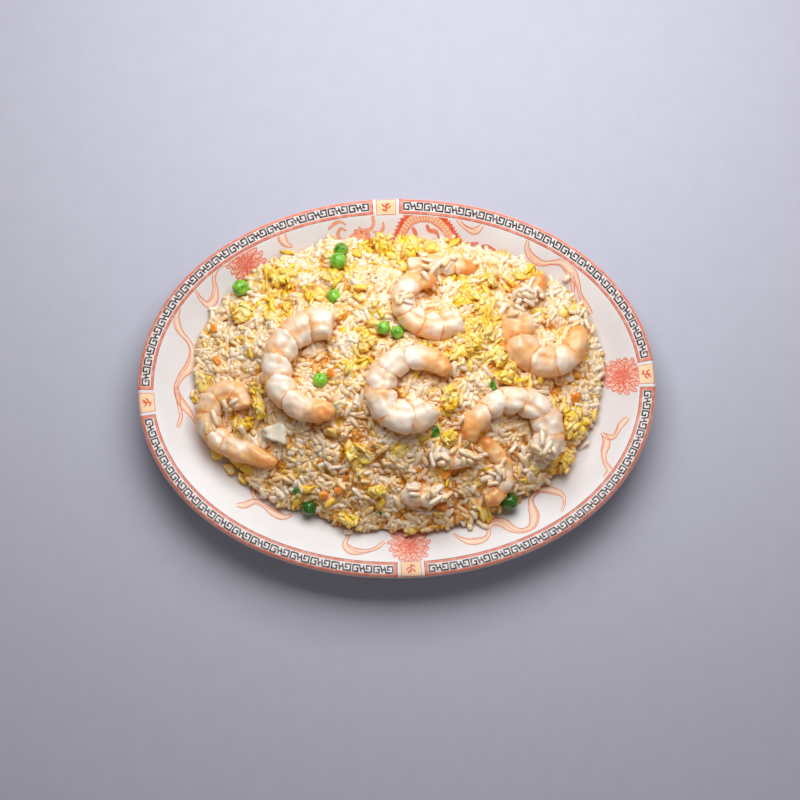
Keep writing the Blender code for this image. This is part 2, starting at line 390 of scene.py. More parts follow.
def turnPlatter():
    # the profile's points are the rows of a grid, which is bent round into the oval and closed
    g = Recipe("turnPlatter", {
        "halfLength": "Float", "halfWidth": "Float", "fullness": "Float", "sides": "Int"})
    profile = g.given("Geometry")
    rows = g.node("GeometryNodeAttributeDomainSize", {"component": "MESH"}, {"Geometry": profile},
                  "Point Count")
    sides = g.given("sides")
    sheet = g.node("GeometryNodeMeshGrid", {}, {"Vertices X": sides + 1, "Vertices Y": rows}, "Mesh")
    index = g.node("GeometryNodeInputIndex")
    column = ((index + 0.5) / rows).maths("FLOOR")
    spot = g.node("GeometryNodeSampleIndex", {"data_type": "FLOAT_VECTOR"}, {
        "Geometry": profile, "Value": g.node("GeometryNodeInputPosition"), "Index": index - column * rows})
    parts = g.split(spot)
    turn = column / sides * tau

    def oval(half, swing):    # superellipse: the swing's size is bent, its sign kept
        bent = swing.maths("ABSOLUTE") ** (2.0 / g.given("fullness"))
        return (g.given(half) - parts) * parts.other("Y") * bent * swing.maths("SIGN")

    place = g.vectorOf(oval("halfLength", turn.maths("COSINE")), oval("halfWidth", turn.maths("SINE")),
                       parts.other("Z"))
    bent = g.node("GeometryNodeSetPosition", {}, {"Geometry": sheet, "Position": place})
    return g.close(g.node("GeometryNodeMergeByDistance", {}, {"Geometry": bent, "Distance": 0.01 * mm}))


def outward(mesh):
    # turns a closed mesh's faces outwards
    bm = bmesh.new()
    bm.from_mesh(mesh)
    bmesh.ops.recalc_face_normals(bm, faces=bm.faces)
    if bm.calc_volume(signed=True) < 0:
        bmesh.ops.reverse_faces(bm, faces=bm.faces)
    bm.to_mesh(mesh)
    bm.free()


def glaze(g):
    # fired white with faint clouds, and hairline unevenness in the gloss
    cloud = g.noise(26, 4)
    fine = g.noise(900, 2)
    return {"Base Color": g.mix(cloud.within(0.3, 0.7), platter["glaze"], platter["glazeShade"]),
            "Roughness": cloud * 0.10 + fine * 0.05 + 0.30,
            "Normal": g.bump(0.25, 0.05, cloud)}


def makePlatter():
    line = objectOf("profile", meshOf("profile", platterProfile(), []))
    made = grow(turnPlatter(), line, "oval_platter",
                finish("glaze", glaze, specular=0.4, coatRoughness=0.22, coat=0.15),
                halfLength=platter["halfLength"] * mm, halfWidth=platter["halfWidth"] * mm,
                fullness=platter["fullness"], sides=platter["sides"])
    drop(line)
    outward(made.data)
    settle(made, "platter", "platter")
    return made


platterPiece = makePlatter()


# The print on the glaze.
inks = {
    "coral": (229, 126, 100), "coralEdge": (218, 112, 84), "peach": (252, 208, 166),
    "peachDeep": (246, 178, 132), "black": (40, 28, 30), "edge": (120, 62, 52), "panel": (252, 216, 168),
    "red": (228, 84, 34), "pale": (254, 232, 208), "rose": (236, 150, 128), "line": (216, 122, 94),
    "petal": (250, 206, 188), "petalLine": (228, 98, 66), "worn": (246, 226, 214), "burnt": (170, 90, 70),
}
band = {    # insets and widths on the rim
    "step": 0.04, "pitch": 11.33, "units": 15, "fret": 4.55, "fretWidth": 0.88,
    "stripes": ((0.2, 1.95, "coral"), (1.95, 2.2, "coralEdge"), (7.25, 8.6, "coral"), (8.6, 8.9, "edge")),
    "cap": 2.0, "gap": 1.9, "panel": (10.7, 8.2), "panelInset": 0.9,
    "panels": ((-137.4, -8.5), (-5.4, 100.3), (138.7, 4.9), (6.7, -100.7)),    # clockwise from the left
    "hook": ((-3.5, 0.1), (-2.3, 0.1), (-2.3, -1.72), (-5.0, -1.72), (-5.0, 1.72), (-1.5, 1.72),
             (-0.5, -1.72)),
    "sprig": (((-0.2, -2.8), (0.1, -1.0), (0.0, 0.9), (0.5, 2.6)), ((0.0, 0.0), (-1.4, 0.6), (-2.6, 2.0)),
              ((0.1, -0.9), (1.5, -0.5), (2.7, 0.9)), ((0.0, -1.6), (-1.3, -1.7), (-2.5, -1.0)),
              ((0.1, 0.6), (1.2, 1.4), (1.7, 2.5))),    # strokes of the leafy spray on each panel
}


class Layout:
    # flat closed shapes in millimetres: z counts layers of ink above the glaze, with a skirt below it
    def __init__(self, keepIn=0.0):
        self.points, self.faces, self.colours, self.keepIn = [], [], [], keepIn

    def sheet(self, rows, ink, layer):
        count, across, start = len(rows), len(rows[0]), len(self.points)
        for level in (layer, -1):
            for i, row in enumerate(rows):
                for j, p in enumerate(row):
                    self.points.append((p.x * mm, p.y * mm, level))
                    shade = ink(i / (count - 1), j / (across - 1)) if callable(ink) else tone(*inks[ink])
                    self.colours.append(shade)
        below = count * across
        at = [[start + i * across + j for j in range(across)] for i in range(count)]
        for i in range(count - 1):
            for j in range(across - 1):
                quad = (at[i][j], at[i + 1][j], at[i + 1][j + 1], at[i][j + 1])
                self.faces += [quad, tuple(v + below for v in reversed(quad))]
        rim = at[0][:-1] + [row[-1] for row in at[:-1]] + at[-1][:0:-1] + [row[0] for row in at[:0:-1]]
        for a, b in zip(rim, rim[1:] + rim[:1]):
            self.faces.append((b, a, a + below, b + below))

    def strip(self, left, right, ink, layer=1, across=1):
        rows = [[a.lerp(b, k / across) for k in range(across + 1)] for a, b in zip(left, right)]
        self.sheet(rows, ink, layer)

    def stroke(self, path, width, ink, layer=2, across=1):
        # width is a number or a function of the share of the length; corners are mitred
        ways = [(b - a).normalized() for a, b in zip(path, path[1:])]
        left, right = [], []
        for k, p in enumerate(path):
            before, after = ways[max(k - 1, 0)], ways[min(k, len(ways) - 1)]
            side = Vector((-before.y - after.y, before.x + after.x)) / (1 + max(before.dot(after), -0.5))
            half = (width(k / (len(path) - 1)) if callable(width) else width) / 2
            left.append(p + side * half)
            right.append(p - side * half)
        self.strip(left, right, ink, layer, across)
        return left, right

    def dot(self, centre, radius, ink, layer):
        rows = []
        for k in range(5):
            turn = math.pi * (k + 0.25) / 4.5
            half = math.sin(turn) * radius
            along = math.cos(turn) * radius
            rows.append([centre + Vector((along, side * half)) for side in (-1, -0.33, 0.33, 1)])
        self.sheet(rows, ink, layer)

    def piece(self, name):
        if self.keepIn:    # nothing reaches past this inset from the outline
            for k, (x, y, z) in enumerate(self.points):
                share = ((abs(x) / mm / (platter["halfLength"] - self.keepIn)) ** platter["fullness"]
                         + (abs(y) / mm / (platter["halfWidth"] - self.keepIn)) ** platter["fullness"])
                if share > 1:
                    shrink = share ** (-1 / platter["fullness"])
                    self.points[k] = (x * shrink, y * shrink, z)
        mesh = meshOf(name, self.points, self.faces)
        mark(mesh, "ink", np.array(self.colours, np.float32).ravel(), "FLOAT_COLOR", "color")
        return objectOf(name, mesh)


def pressOnPlatter():
    # lays a flat layout on the platter, either in plan or with x running clockwise round the rim
    g = Recipe("pressOnPlatter", {"platter": "Object", "rim": "Object", "alongRim": "Bool",
                                  "copies": "Int", "pitch": "Float", "start": "Float", "inkStep": "Float"})
    row = g.node("GeometryNodeMeshLine", {}, {
        "Count": g.given("copies"), "Start Location": g.vectorOf(g.given("start")),
        "Offset": g.vectorOf(g.given("pitch"))}, "Mesh")
    many = g.node("GeometryNodeInstanceOnPoints", {}, {"Points": row, "Instance": g.given("Geometry")},
                  "Instances")
    flatShapes = g.node("GeometryNodeRealizeInstances", {}, {"Geometry": many})
    along = g.split(g.node("GeometryNodeInputPosition"))
    rim = g.node("GeometryNodeObjectInfo", {}, {"Object": g.given("rim")}, "Geometry")
    length = g.node("GeometryNodeCurveLength", {}, {"Curve": rim})
    onRim = g.node("GeometryNodeSampleCurve", {"mode": "LENGTH"}, {
        "Curves": rim, "Length": along.maths("WRAP", length, 0.0)}, "Position")
    out = g.vector("CROSS_PRODUCT", (0, 0, 1), onRim.other("Tangent"))
    wound = g.vector("ADD", onRim, g.scaled(out, along.other("Y")))
    target = g.node("GeometryNodeSwitch", {"input_type": "VECTOR"}, {
        "Switch": g.given("alongRim"), "False": g.node("GeometryNodeInputPosition"), "True": wound})
    above = g.vector("ADD", g.vector("MULTIPLY", target, (1, 1, 0)), (0, 0, rayHeight))
    body = g.node("GeometryNodeObjectInfo", {}, {"Object": g.given("platter")}, "Geometry")
    hit = g.node("GeometryNodeRaycast", {}, {
        "Target Geometry": body, "Source Position": above, "Ray Direction": (0, 0, -1),
        "Ray Length": 2 * rayHeight},
        "Hit Position")
    lift = g.scaled(hit.other("Hit Normal"), along.other("Z") * g.given("inkStep"))
    pressed = g.node("GeometryNodeSetPosition", {}, {
        "Geometry": flatShapes, "Position": g.vector("ADD", hit, lift)})
    return g.close(pressed)


def inkLook(g):
    # transfer print: the ink thins in fine clouds
    colour = g.attribute("ink", "Color")
    cloud = g.noise(420, 3)
    wide = g.noise(60, 2)
    thin = g.mix(cloud.within(0.42, 0.72, 0.0, 0.30), colour, inks["worn"])
    return {"Base Color": g.mix(wide.within(0.35, 0.7, 0.0, 0.16), thin, inks["burnt"], "MULTIPLY"),
            "Roughness": cloud * 0.12 + 0.34}


def blend(first, second):
    # an ink that changes across a strip, from one edge to the other
    a, b = np.array(tone(*inks[first])), np.array(tone(*inks[second]))
    return lambda along, across: tuple(a + (b - a) * abs(2 * across - 1) ** 1.5)


def rimLine():
    half = (platter["halfLength"], platter["halfWidth"])
    bend = 2 / platter["fullness"]
    ring = []
    for k in range(960):
        turn = math.pi - tau * k / 960
        swings = (math.cos(turn), math.sin(turn))
        ring.append([h * math.copysign(abs(w) ** bend, w) for h, w in zip(half, swings)])
    curve = bpy.data.curves.new("rimLine", "CURVE")
    curve.dimensions = "3D"
    spline = curve.splines.new("POLY")
    spline.points.add(len(ring) - 1)
    for point, (x, y) in zip(spline.points, ring):
        point.co = (x * mm, y * mm, 0, 1)
    spline.use_cyclic_u = True
    return objectOf("rimLine", curve), [Vector(p) for p in ring]


def subdivided(path, step=1.0):
    fine = [path[0]]
    for a, b in zip(path, path[1:]):
        count = max(1, math.ceil((b - a).length / step))
        fine += [a.lerp(b, k / count) for k in range(1, count + 1)]
    return fine


def shifted(path, x, y=0.0):
    return [p + Vector((x, y)) for p in path]


def fretUnit(stretch):
    # two hooks, each the other turned half round, and a bar between them
    unit = Layout()
    for sign in (1, -1):
        path = [Vector((sign * x * stretch, sign * y - band["fret"])) for x, y in band["hook"]]
        unit.stroke(subdivided(path), band["fretWidth"], "black", 1)
    unit.stroke(flat([(-0.98 * stretch, -band["fret"]), (0.98 * stretch, -band["fret"])]),
                band["fretWidth"], "black", 1)
    return unit.piece("fretUnit")


def makeRimBand():
    rim, ring = rimLine()
    travelled = [0.0]
    for a, b in zip(ring, ring[1:] + ring[:1]):
        travelled.append(travelled[-1] + (b - a).length)
    total = travelled[-1]
    stretch = total / (total - tau * band["fret"])
    centres = []
    for x, y in band["panels"]:    # where each panel's middle falls on the rim line
        nearest = min(range(len(ring)), key=lambda k: math.hypot(ring[k].x - x, ring[k].y - y))
        centres.append(travelled[nearest])
    centres.sort()
    layout = Layout()
    press = pressOnPlatter()
    look = finish("print", inkLook, specular=0.3, coat=0.08, coatRoughness=0.25)
    shared = dict(platter=platterPiece, rim=rim, inkStep=band["step"] * mm)
    pieces = []
    width, height = band["panel"]
    top = band["panelInset"]
    for k, centre in enumerate(centres):
        after = centres[(k + 1) % 4] + (total if k == 3 else 0)
        start = centre + width / 2 * stretch + band["gap"]
        end = after - width / 2 * stretch - band["gap"]
        for inner, outer, ink in band["stripes"]:
            path = subdivided(flat([(start, 0), (end, 0)]), 1.4)
            across = 3 if ink == "coral" else 1
            layout.strip(shifted(path, 0, -inner), shifted(path, 0, -outer), ink, 1, across)
        for side, edge in ((1, start), (-1, end)):
            for near, far, ink in ((0.0, 0.3, "edge"), (0.3, band["cap"], "coral")):
                path = subdivided(flat([(edge, -0.5), (edge, -8.9)]), 0.7)
                layout.strip(shifted(path, side * near), shifted(path, side * far), ink, 2, 2)
        pitch = (end - start - 2 * band["cap"]) / band["units"]
        unit = fretUnit(pitch / band["pitch"])
        pieces.append(grow(press, unit, "fret", look, alongRim=True, copies=band["units"], pitch=pitch * mm,
                           start=(start + band["cap"] + pitch / 2) * mm, **shared))
        drop(unit)
        # panel with an outline and a small spray of leaves
        half = width / 2 * stretch
        rows = subdivided(flat([(0, -top), (0, -top - height)]), 0.8)
        layout.strip(shifted(rows, centre - half), shifted(rows, centre + half), "panel", 1, 8)
        low = -top - height
        outline = flat([(-half, -top), (half, -top), (half, low), (-half, low), (-half, -top)])
        outline = shifted(outline, centre)
        for a, b in zip(outline, outline[1:]):
            layout.stroke(subdivided([a, b], 0.9), 0.35, "coralEdge", 2)
        for line in band["sprig"]:
            path = smoothPath(shifted(flat(line), centre, -top - height / 2), 0.5)
            layout.stroke(path, lambda t: 0.25 + 0.75 * math.sin(math.pi * min(1, t * 0.9 + 0.08)), "red", 2)
    plan = layout.piece("bandLayout")
    pieces.append(grow(press, plan, "stripes", look, alongRim=True, copies=1, pitch=0.0, start=0.0, **shared))
    drop(plan)
    made = joined("rim_band", pieces)
    outward(made.data)
    settle(made, "platter", smooth=False)
    return press, look, shared


pressRecipe, printLook, pressShared = makeRimBand()


ribbons = {    # middle lines in plan, and the widest the ribbon gets
    "left": (5.4, ((-119.6, 45.6), (-121.5, 39.3), (-119.9, 32.5), (-114.8, 26.3), (-113, 20),
                   (-114.6, 13.3), (-118.7, 8.2), (-121.8, 1.5), (-120.3, -4.7), (-116.9, -9.8),
                   (-113.5, -14.2), (-110.7, -18.7))),
    "leftTail": (3.4, ((-121.8, 1.5), (-120.3, -8.1), (-119.1, -14.8), (-120.6, -21.5))),
    "upperLeft": (4.2, ((-112, 56.4), (-108.6, 50.7), (-104.6, 47.6), (-101.3, 50.1), (-100.3, 55.8),
                        (-100.9, 62.1), (-98.2, 67.8), (-93.2, 69.6))),
    "crescent": (5.0, ((-60.4, 90.5), (-63.2, 85.4), (-61.4, 81.6), (-57.4, 79.9))),
    "lowerLeft": (5.2, ((-88, -64.7), (-83.6, -64.7), (-78.2, -62.5), (-72.7, -65.2), (-67.2, -69.1),
                        (-62.2, -71.3), (-57.9, -69.6))),
    "lowerLeftTail": (4.6, ((-79.4, -53.1), (-79.3, -58.1), (-77.1, -61.9))),
    "bottom": (4.2, ((-24.5, -79), (-27.7, -83.3), (-28.8, -87.2), (-25.5, -90.4), (-19, -91), (-12.4, -89.3),
                     (-7.5, -85.5))),
    "upperRight": (5.2, ((74, 82.2), (73.4, 77), (76.2, 72.4), (81.7, 69), (87.3, 69), (92.9, 68.4),
                         (97.8, 63.3), (101.1, 57), (102.7, 50.7), (106.5, 43.9), (108.6, 40.4))),
    "upperRightTail": (3.2, ((97.8, 63.3), (98.6, 56.4), (98.8, 50.7))),
    "top": (4.4, ((34.3, 94.3), (38.8, 89.7), (44.4, 87.4), (48.9, 90.3))),
    "lowerRight": (5.4, ((30.1, -81.1), (34.5, -84.4), (39.9, -86.1), (46.5, -85), (49.2, -82.2),
                         (49.8, -77.9), (52.6, -75.1), (57.5, -75.7), (61.8, -79), (67.3, -80.6),
                         (72.7, -78.4), (74.5, -72.4), (73.4, -66.9), (73.5, -61.9), (78.5, -57.5),
                         (85, -58.1), (89.9, -60.8), (91, -65.2), (89.2, -70.2))),
    "right": (4.8, ((113, -26), (115.1, -31.5), (113.3, -38.2), (113.8, -43.7), (115.9, -48.1),
                    (113.1, -52))),
    "rightTail": (4.6, ((113.5, -27.6), (118.4, -29.3), (121.8, -24.8), (123, -22.6), (126.9, -18.7))),
}
rosettes = {    # middle in plan and radius
    "upperLeft": ((-83.2, 70.2), 10.6), "right": ((124.8, 5.0), 10.8), "bottom": ((6.1, -87.8), 11.0),
}
petalRings = (    # count, near, far and half width as shares of the radius, ink, layer, curl
    (16, 0.58, 1.00, 0.125, "petal", 1.0, 0.10), (14, 0.42, 0.84, 0.115, "pale", 1.5, -0.22),
    (11, 0.28, 0.66, 0.110, "petal", 2.0, 0.42), (8, 0.14, 0.46, 0.095, "rose", 2.5, -0.6),
    (5, 0.03, 0.27, 0.080, "coral", 3.0, 0.8),
)


def drawRibbon(layout, wide, points, phase):
    path = smoothPath(flat(points), 1.1)

    def width(t):
        return wide * (0.16 + 0.84 * math.sin(math.pi * (0.04 + 0.93 * t)) ** 0.7) \
            * (0.72 + 0.28 * math.sin(tau * t * len(points) / 4.5 + phase))

    left, right = layout.stroke(path, width, blend("pale", "peachDeep"), 1, 4)
    for edge in (left, right):
        layout.stroke(edge, 0.36, "line", 2)
    fold = [a.lerp(b, 0.5 + 0.32 * math.sin(phase + 5 * k / len(path)))
            for k, (a, b) in enumerate(zip(left, right))]
    if len(fold) > 9:
        layout.stroke(fold[3:-3], lambda t: 0.10 + 0.30 * math.sin(math.pi * t), "rose", 2)


def drawPetal(layout, centre, turn, near, far, wide, ink, layer, curl, line="coralEdge", thick=0.34):
    # a cupped petal from near to far, with a darker outline and, on a wide one, a vein
    left, right = [], []
    for k in range(8):
        t = k / 7
        out = near + (far - near) * t
        half = wide * math.sin(math.pi * (0.12 + 0.80 * t)) ** 0.8
        bend = turn + curl * t * t
        way = Vector((math.cos(bend), math.sin(bend)))
        left.append(centre + way * out + Vector((-way.y, way.x)) * half)
        right.append(centre + way * out - Vector((-way.y, way.x)) * half)
    layout.strip(left, right, ink, layer, 2)
    layout.stroke(left + right[::-1], thick, line, layer + 0.4)
    if wide > 0.9:
        layout.stroke([a.lerp(b, 0.5) for a, b in zip(left[1:6], right[1:6])], 0.2, line, layer + 0.4)


def drawRosette(layout, place, radius):
    # a chrysanthemum: narrow outlined petals in rings, curling more towards the middle
    centre = Vector(place)
    for count, near, far, wide, ink, layer, curl in petalRings:
        for k in range(count):
            turn = tau * (k + 0.37 * layer) / count
            tip = far * (1 + 0.09 * math.sin(5.3 * k + 2 * layer))
            drawPetal(layout, centre, turn, near * radius, tip * radius, wide * radius, blend(ink, "rose"),
                      layer, curl, "petalLine", 0.36)
    layout.dot(centre, radius * 0.10, "red", 3.6)


dragon = {    # a traditional scaled dragon: its visible arch, tail and head, in plan
    "body": ((1.6, 82.5), (2.9, 87.0), (6.8, 93.0), (11.0, 95.6), (15.8, 96.4), (21.2, 95.4), (26.0, 92.2),
             (29.8, 88.0), (33.0, 83.6), (36.6, 79.6)),
    "bodyWidth": 6.8,
    "plumes": (((36.2, 82.2), (41.0, 80.6), (46.6, 81.5)),
               ((37.6, 79.4), (44.4, 77.8), (51.0, 79.4), (56.1, 77.0)),
               ((36.8, 77.0), (42.0, 74.4), (47.4, 74.6))),
    "legs": (((17.6, 91.4), (19.2, 88.4), (22.6, 87.8), (24.8, 84.2)),
             ((9.6, 90.4), (11.4, 86.6), (10.2, 83.0))),
    "head": (-19.4, 83.6), "headRadius": 6.2, "eyes": ((-24.6, 85.4), (-24.2, 81.2)),
    "curls": (((-20.6, 90.6), (-17.6, 89.0), (-13.6, 89.6), (-12.0, 92.6), (-12.4, 96.0), (-9.0, 97.0)),
              ((-12.6, 88.2), (-8.6, 87.6), (-6.6, 90.2), (-6.8, 93.2)),
              ((-27.2, 88.6), (-30.4, 89.6), (-32.0, 86.4), (-30.0, 83.6), (-26.8, 83.8)),
              ((-37.5, 89.0), (-34.0, 92.0), (-30.4, 93.2), (-27.4, 91.4)),
              ((-24.6, 79.6), (-21.0, 77.4), (-17.2, 76.6), (-13.6, 77.6))),
}


def drawDragon(layout):
    path = smoothPath(flat(dragon["body"]), 1.0)
    wide = dragon["bodyWidth"]

    def width(t):
        return wide * (0.55 + 0.45 * math.sin(math.pi * (0.12 + 0.84 * t)))

    left, right = layout.stroke(path, width, blend("peach", "peachDeep"), 1, 3)
    back = [a.lerp(b, 0.16) for a, b in zip(left, right)]
    layout.stroke(back, lambda t: 0.9 + 1.5 * math.sin(math.pi * t) ** 0.7, "red", 1.6)
    for edge in (left, right):
        layout.stroke(edge, 0.42, "coralEdge", 2)
    bow = [math.pi * j / 5 for j in range(6)]
    for k in range(2, len(path) - 1, 2):    # rows of scales, and the crest's points
        way = (path[k] - path[k - 1]).normalized()
        side = Vector((-way.y, way.x))
        for share in (0.46, 0.76):
            spot = left[k].lerp(right[k], share)
            arc = [spot + side * math.cos(a) + way * (1.1 * math.sin(a)) for a in bow]
            layout.stroke(arc, 0.3, "coralEdge", 2)
        tip = left[k] + side * 1.3 - way * 0.6
        layout.stroke([left[k], left[k].lerp(tip, 0.5), tip], lambda t: 1.1 * (1 - t) + 0.12, "red", 2)
    for line in dragon["plumes"] + dragon["legs"]:
        wave = smoothPath(flat(line), 0.8)
        layout.stroke(wave, lambda t: 0.5 + 2.0 * math.sin(math.pi * (0.15 + 0.8 * t)),
                      blend("rose", "coral"), 1.4, 2)
        layout.stroke(wave, lambda t: 0.15 + 0.35 * (1 - t), "red", 2.4)
    head = Vector(dragon["head"])
    for k in range(9):
        drawPetal(layout, head, tau * (k + 0.5) / 9, 2.0, dragon["headRadius"], 1.8,
                  blend("peachDeep", "coral"), 1.0 + 0.1 * (k % 2), 0.35)
    layout.dot(head, 3.6, "peachDeep", 1.6)
    for line in dragon["curls"]:
        curl = smoothPath(flat(line), 0.7)
        layout.stroke(curl, lambda t: 0.35 + 1.5 * math.sin(math.pi * (0.1 + 0.85 * t)),
                      blend("peachDeep", "coral"), 1.8, 2)
    for eye in dragon["eyes"]:
        layout.dot(Vector(eye), 1.3, "peach", 2.2)
        layout.dot(Vector(eye), 0.8, "red", 2.6)


def makeWallPrint():
    layout = Layout(band["stripes"][-1][1] + 0.5)
    for k, (wide, points) in enumerate(ribbons.values()):
        drawRibbon(layout, wide, points, 1.7 * k)
    for place, radius in rosettes.values():
        drawRosette(layout, place, radius)
    drawDragon(layout)
    plan = layout.piece("wallLayout")
    made = grow(pressRecipe, plan, "wall_print", printLook, alongRim=False, copies=1, pitch=0.0, start=0.0,
                **pressShared)
    drop(plan, pressShared["rim"])
    outward(made.data)
    settle(made, "platter", smooth=False)


makeWallPrint()


# The rice heap: a packed core, and layers of grains strewn over it.
heap = {
    "meanRadius": 97.1, "waves": ((1, 0.8, 4.6), (2, 15.6, -0.3), (3, 0.2, 2.2), (4, 0.7, 0.3)),
    "ragged": 3.0, "rise": 39.0, "edge": 2.6, "shoulder": (2.3, 0.9),    # the powers that round its side
    # unevenness in layers of noise, each with its height, size and seed: the solid's own lumps, clumps of
    # grains, where crumbled egg lies, and where the upper grains stand
    "lumps": ((3.0, 1 / 0.028, 1.7), (1.8, 1 / 0.090, 5.1)), "clumps": ((1.9, 8.0, 3.3), (1.1, 4.0, 6.6)),
    "patches": ((1.25, 8.0, 12.5), (0.5, 3.5, 2.5)), "tufts": ((1.7, 5.6, 9.1), (0.5, 2.6, 4.4)),
    # scatter sheet: its grid, how far in it ends, how low it lies, and the grid's span in x and y
    "spacing": 1.3, "inside": 1.6, "sunk": 1.2, "span": ((-128, 128), (-98, 100)),
    "crevice": 3.6, "creviceCell": 16.0, "creviceWidth": 0.34,
    "coreSunk": 1.1, "coreInside": 4.0, "coreSides": 300, "coreRings": 110, "grainy": 0.9, "grainySize": 2.6,
    "nearSideShade": 0.32,    # painted shade: how much more of the darker sauce colours the near side gets, away from the key light
}
rice = {
    "length": (5.2, 9.2), "broken": 4.8, "width": (2.7, 3.7), "bend": (-0.35, 0.5),
    "profile": ((0.03, 0.58), (0.17, 0.92), (0.5, 1.0), (0.82, 0.90), (0.96, 0.50)),    # place along, girth
    "sides": 6, "kinds": 6, "tilt": 0.38, "scale": (0.92, 1.08),
    # layer: least gap between grains, lowest and highest middle over the sheet, share, seed, where
    "layers": (("deep", 2.6, -1.3, -0.7, 1.0, 3, "cover"), ("middle", 2.6, -0.8, -0.1, 0.85, 11, "cover"),
               ("top", 2.5, -0.2, 0.6, 1.0, 23, "clump"), ("crest", 2.6, 0.5, 1.1, 1.0, 29, "crest")),
    # amber and brown: sauce colours, used also as painted shade between and under the grains
    "pearl": (255, 234, 210), "cream": (255, 215, 157), "amber": (255, 204, 44), "brown": (222, 140, 22),
    "eggy": (255, 206, 70),
    "onTop": (    # where loose grains lie on other food: place in mm, reach, share
        ((75, -39), 8, 1.3), ((66, -36), 6, 1.0), ((73, -48), 8, 1.3), ((98, 39), 9, 1.2),
        ((106, 32), 7, 0.9), ((69, 46), 8, 1.2), ((60, 40), 7, 1.0), ((78, 50), 5, 0.8),
        ((54, -51), 6, 1.0), ((47, -56), 6, 1.0), ((46, -65), 5, 0.6), ((22, -42), 6, 0.9),
        ((38, -40), 7, 1.0), ((5, -57), 6, 0.9), ((22, -63), 7, 1.0), ((-92, -12), 5, 0.4),
        ((-100, -20), 6, 0.6), ((-90, -26), 7, 0.8), ((18, 62), 7, 1.0), ((28, 66), 6, 0.8),
        ((5, 43), 6, 0.8), ((-28, -8), 5, 0.5), ((-50, 16), 4, 0.25), ((24, 22), 6, 0.4)),
    # where grains have slid off: place and reach, then the ring's width as a share, and height over the dish
    "strays": ((-104, 8, 8), (105, -6, 9), (97, -32, 7), (-20, -76, 9), (40, -74, 8)),
    "strayWidth": 0.08, "strayLift": 1.3,
    # the same for loose grains: name, sheet, gap, low, high, share, seed, distance kept from toppings, where
    "loose": (("on_toppings", "drape", 2.5, 0.7, 1.8, 1.0, 31, 0.0, "cover"),
              ("heaped", "drape", 2.6, 1.9, 3.2, 1.0, 33, 0.0, "heaped"),
              ("strays", "edge", 3.0, 0.0, 0.3, 0.9, 37, 0.6, "cover")),
}
wallTable = np.array([wallCurve(k / 300) for k in range(301)])


def insetAt(x, y):
    # how far inside the platter's outline places lie, in mm
    low, high = np.zeros_like(x), np.full_like(x, platter["halfWidth"] - 0.1)
    for _ in range(28):
        middle = (low + high) / 2
        outside = (np.abs(x) / (platter["halfLength"] - middle)) ** platter["fullness"] \
            + (np.abs(y) / (platter["halfWidth"] - middle)) ** platter["fullness"] > 1
        high, low = np.where(outside, middle, high), np.where(outside, low, middle)
    return low


def platterTop(x, y):
    return np.interp(insetAt(x, y), wallTable[:, 0], wallTable[:, 1])


def raggedAt(turn):
    return heap["ragged"] * noise.noise(Vector((math.cos(turn) * 5, math.sin(turn) * 5, 0.3)))


raggedTable = [raggedAt(tau * k / 720 - math.pi) for k in range(721)]


def heapRadius(turn):
    radius = heap["meanRadius"] + np.interp(turn, np.linspace(-math.pi, math.pi, 721), raggedTable)
    for wave, cosine, sine in heap["waves"]:
        radius = radius + cosine * np.cos(wave * turn) + sine * np.sin(wave * turn)
    return radius


def heapTop(x, y):
    # rice surface over places in mm, without its fine unevenness, and the share of the way out
    x, y = np.asarray(x, float), np.asarray(y, float)
    share = np.minimum(np.hypot(x, y) / heapRadius(np.arctan2(y, x)), 1.0)
    steep, soft = heap["shoulder"]
    return platterTop(x, y) + heap["edge"] + heap["rise"] * (1 - share ** steep) ** soft, share


def rough(x, y, size, seed):
    return noise.noise(Vector((x / size, y / size, seed)))


def layered(x, y, layers, start=0.0):
    return sum((high * rough(x, y, size, seed) for high, size, seed in layers), start)


def lumps(x, y, share):
    # the heap's own lumps, as in its solid
    return layered(x, y, heap["lumps"]) * min(1.0, 3 * (1 - share))


def reliefAt(x, y, share):
    # clumps of grains with crevices between some of them; also how deep in a crevice the place is
    near, far = noise.voronoi(Vector((x / heap["creviceCell"], y / heap["creviceCell"], 0.4)))[0][:2]
    gap = max(0.0, 1 - (far - near) / heap["creviceWidth"]) * clipped(0.55 + 1.7 * rough(x, y, 21, 8.8))
    gap *= min(1.0, 5 * (1 - share))
    return layered(x, y, heap["clumps"]) - heap["crevice"] * gap, gap


def treeOf(mesh):
    points = [v.co.copy() for v in mesh.vertices]
    return BVHTree.FromPolygons(points, [list(f.vertices) for f in mesh.polygons])


def toppingSolids():
    # the CAD solids that lie in the rice, as one mesh
    points, faces = [], []
    for name, node in frame["nodes"].items():
        if name not in ("platter", "rice_heap"):
            start = len(points)
            points += [v.co.copy() for v in node.data.vertices]
            faces += [[start + v for v in f.vertices] for f in node.data.polygons]
    return meshOf("toppings", points, faces)


toppingMesh = toppingSolids()
toppings = treeOf(toppingMesh)


def gridSheet(name, level):
    # a grid over the dish where level gives a height in mm and shares to keep as attributes, or nothing
    gap = heap["spacing"]
    xs, ys = (np.arange(low, high, gap) for low, high in heap["span"])
    gridX, gridY = (side.ravel() for side in np.meshgrid(xs, ys))
    tops, shares = heapTop(gridX, gridY)
    dish = platterTop(gridX, gridY)
    points, marks, index = [], [], {}
    for k, (x, y, top, share, low) in enumerate(zip(gridX, gridY, tops, shares, dish)):
        found = level(x, y, top, share, low)
        if found:
            index[k] = len(points)
            points.append((x * mm, y * mm, found[0] * mm))
            marks.append(found[1])
    wide = len(xs)
    faces = []
    for k in index:
        corner = [k, k + 1, k + wide + 1, k + wide]
        if (k + 1) % wide and all(c in index for c in corner):
            faces.append([index[c] for c in corner])
    mesh = meshOf(name, points, faces)
    for label in marks[0]:
        mark(mesh, label, [found[label] for found in marks])
    mesh.shade_smooth()
    return objectOf(name, mesh)


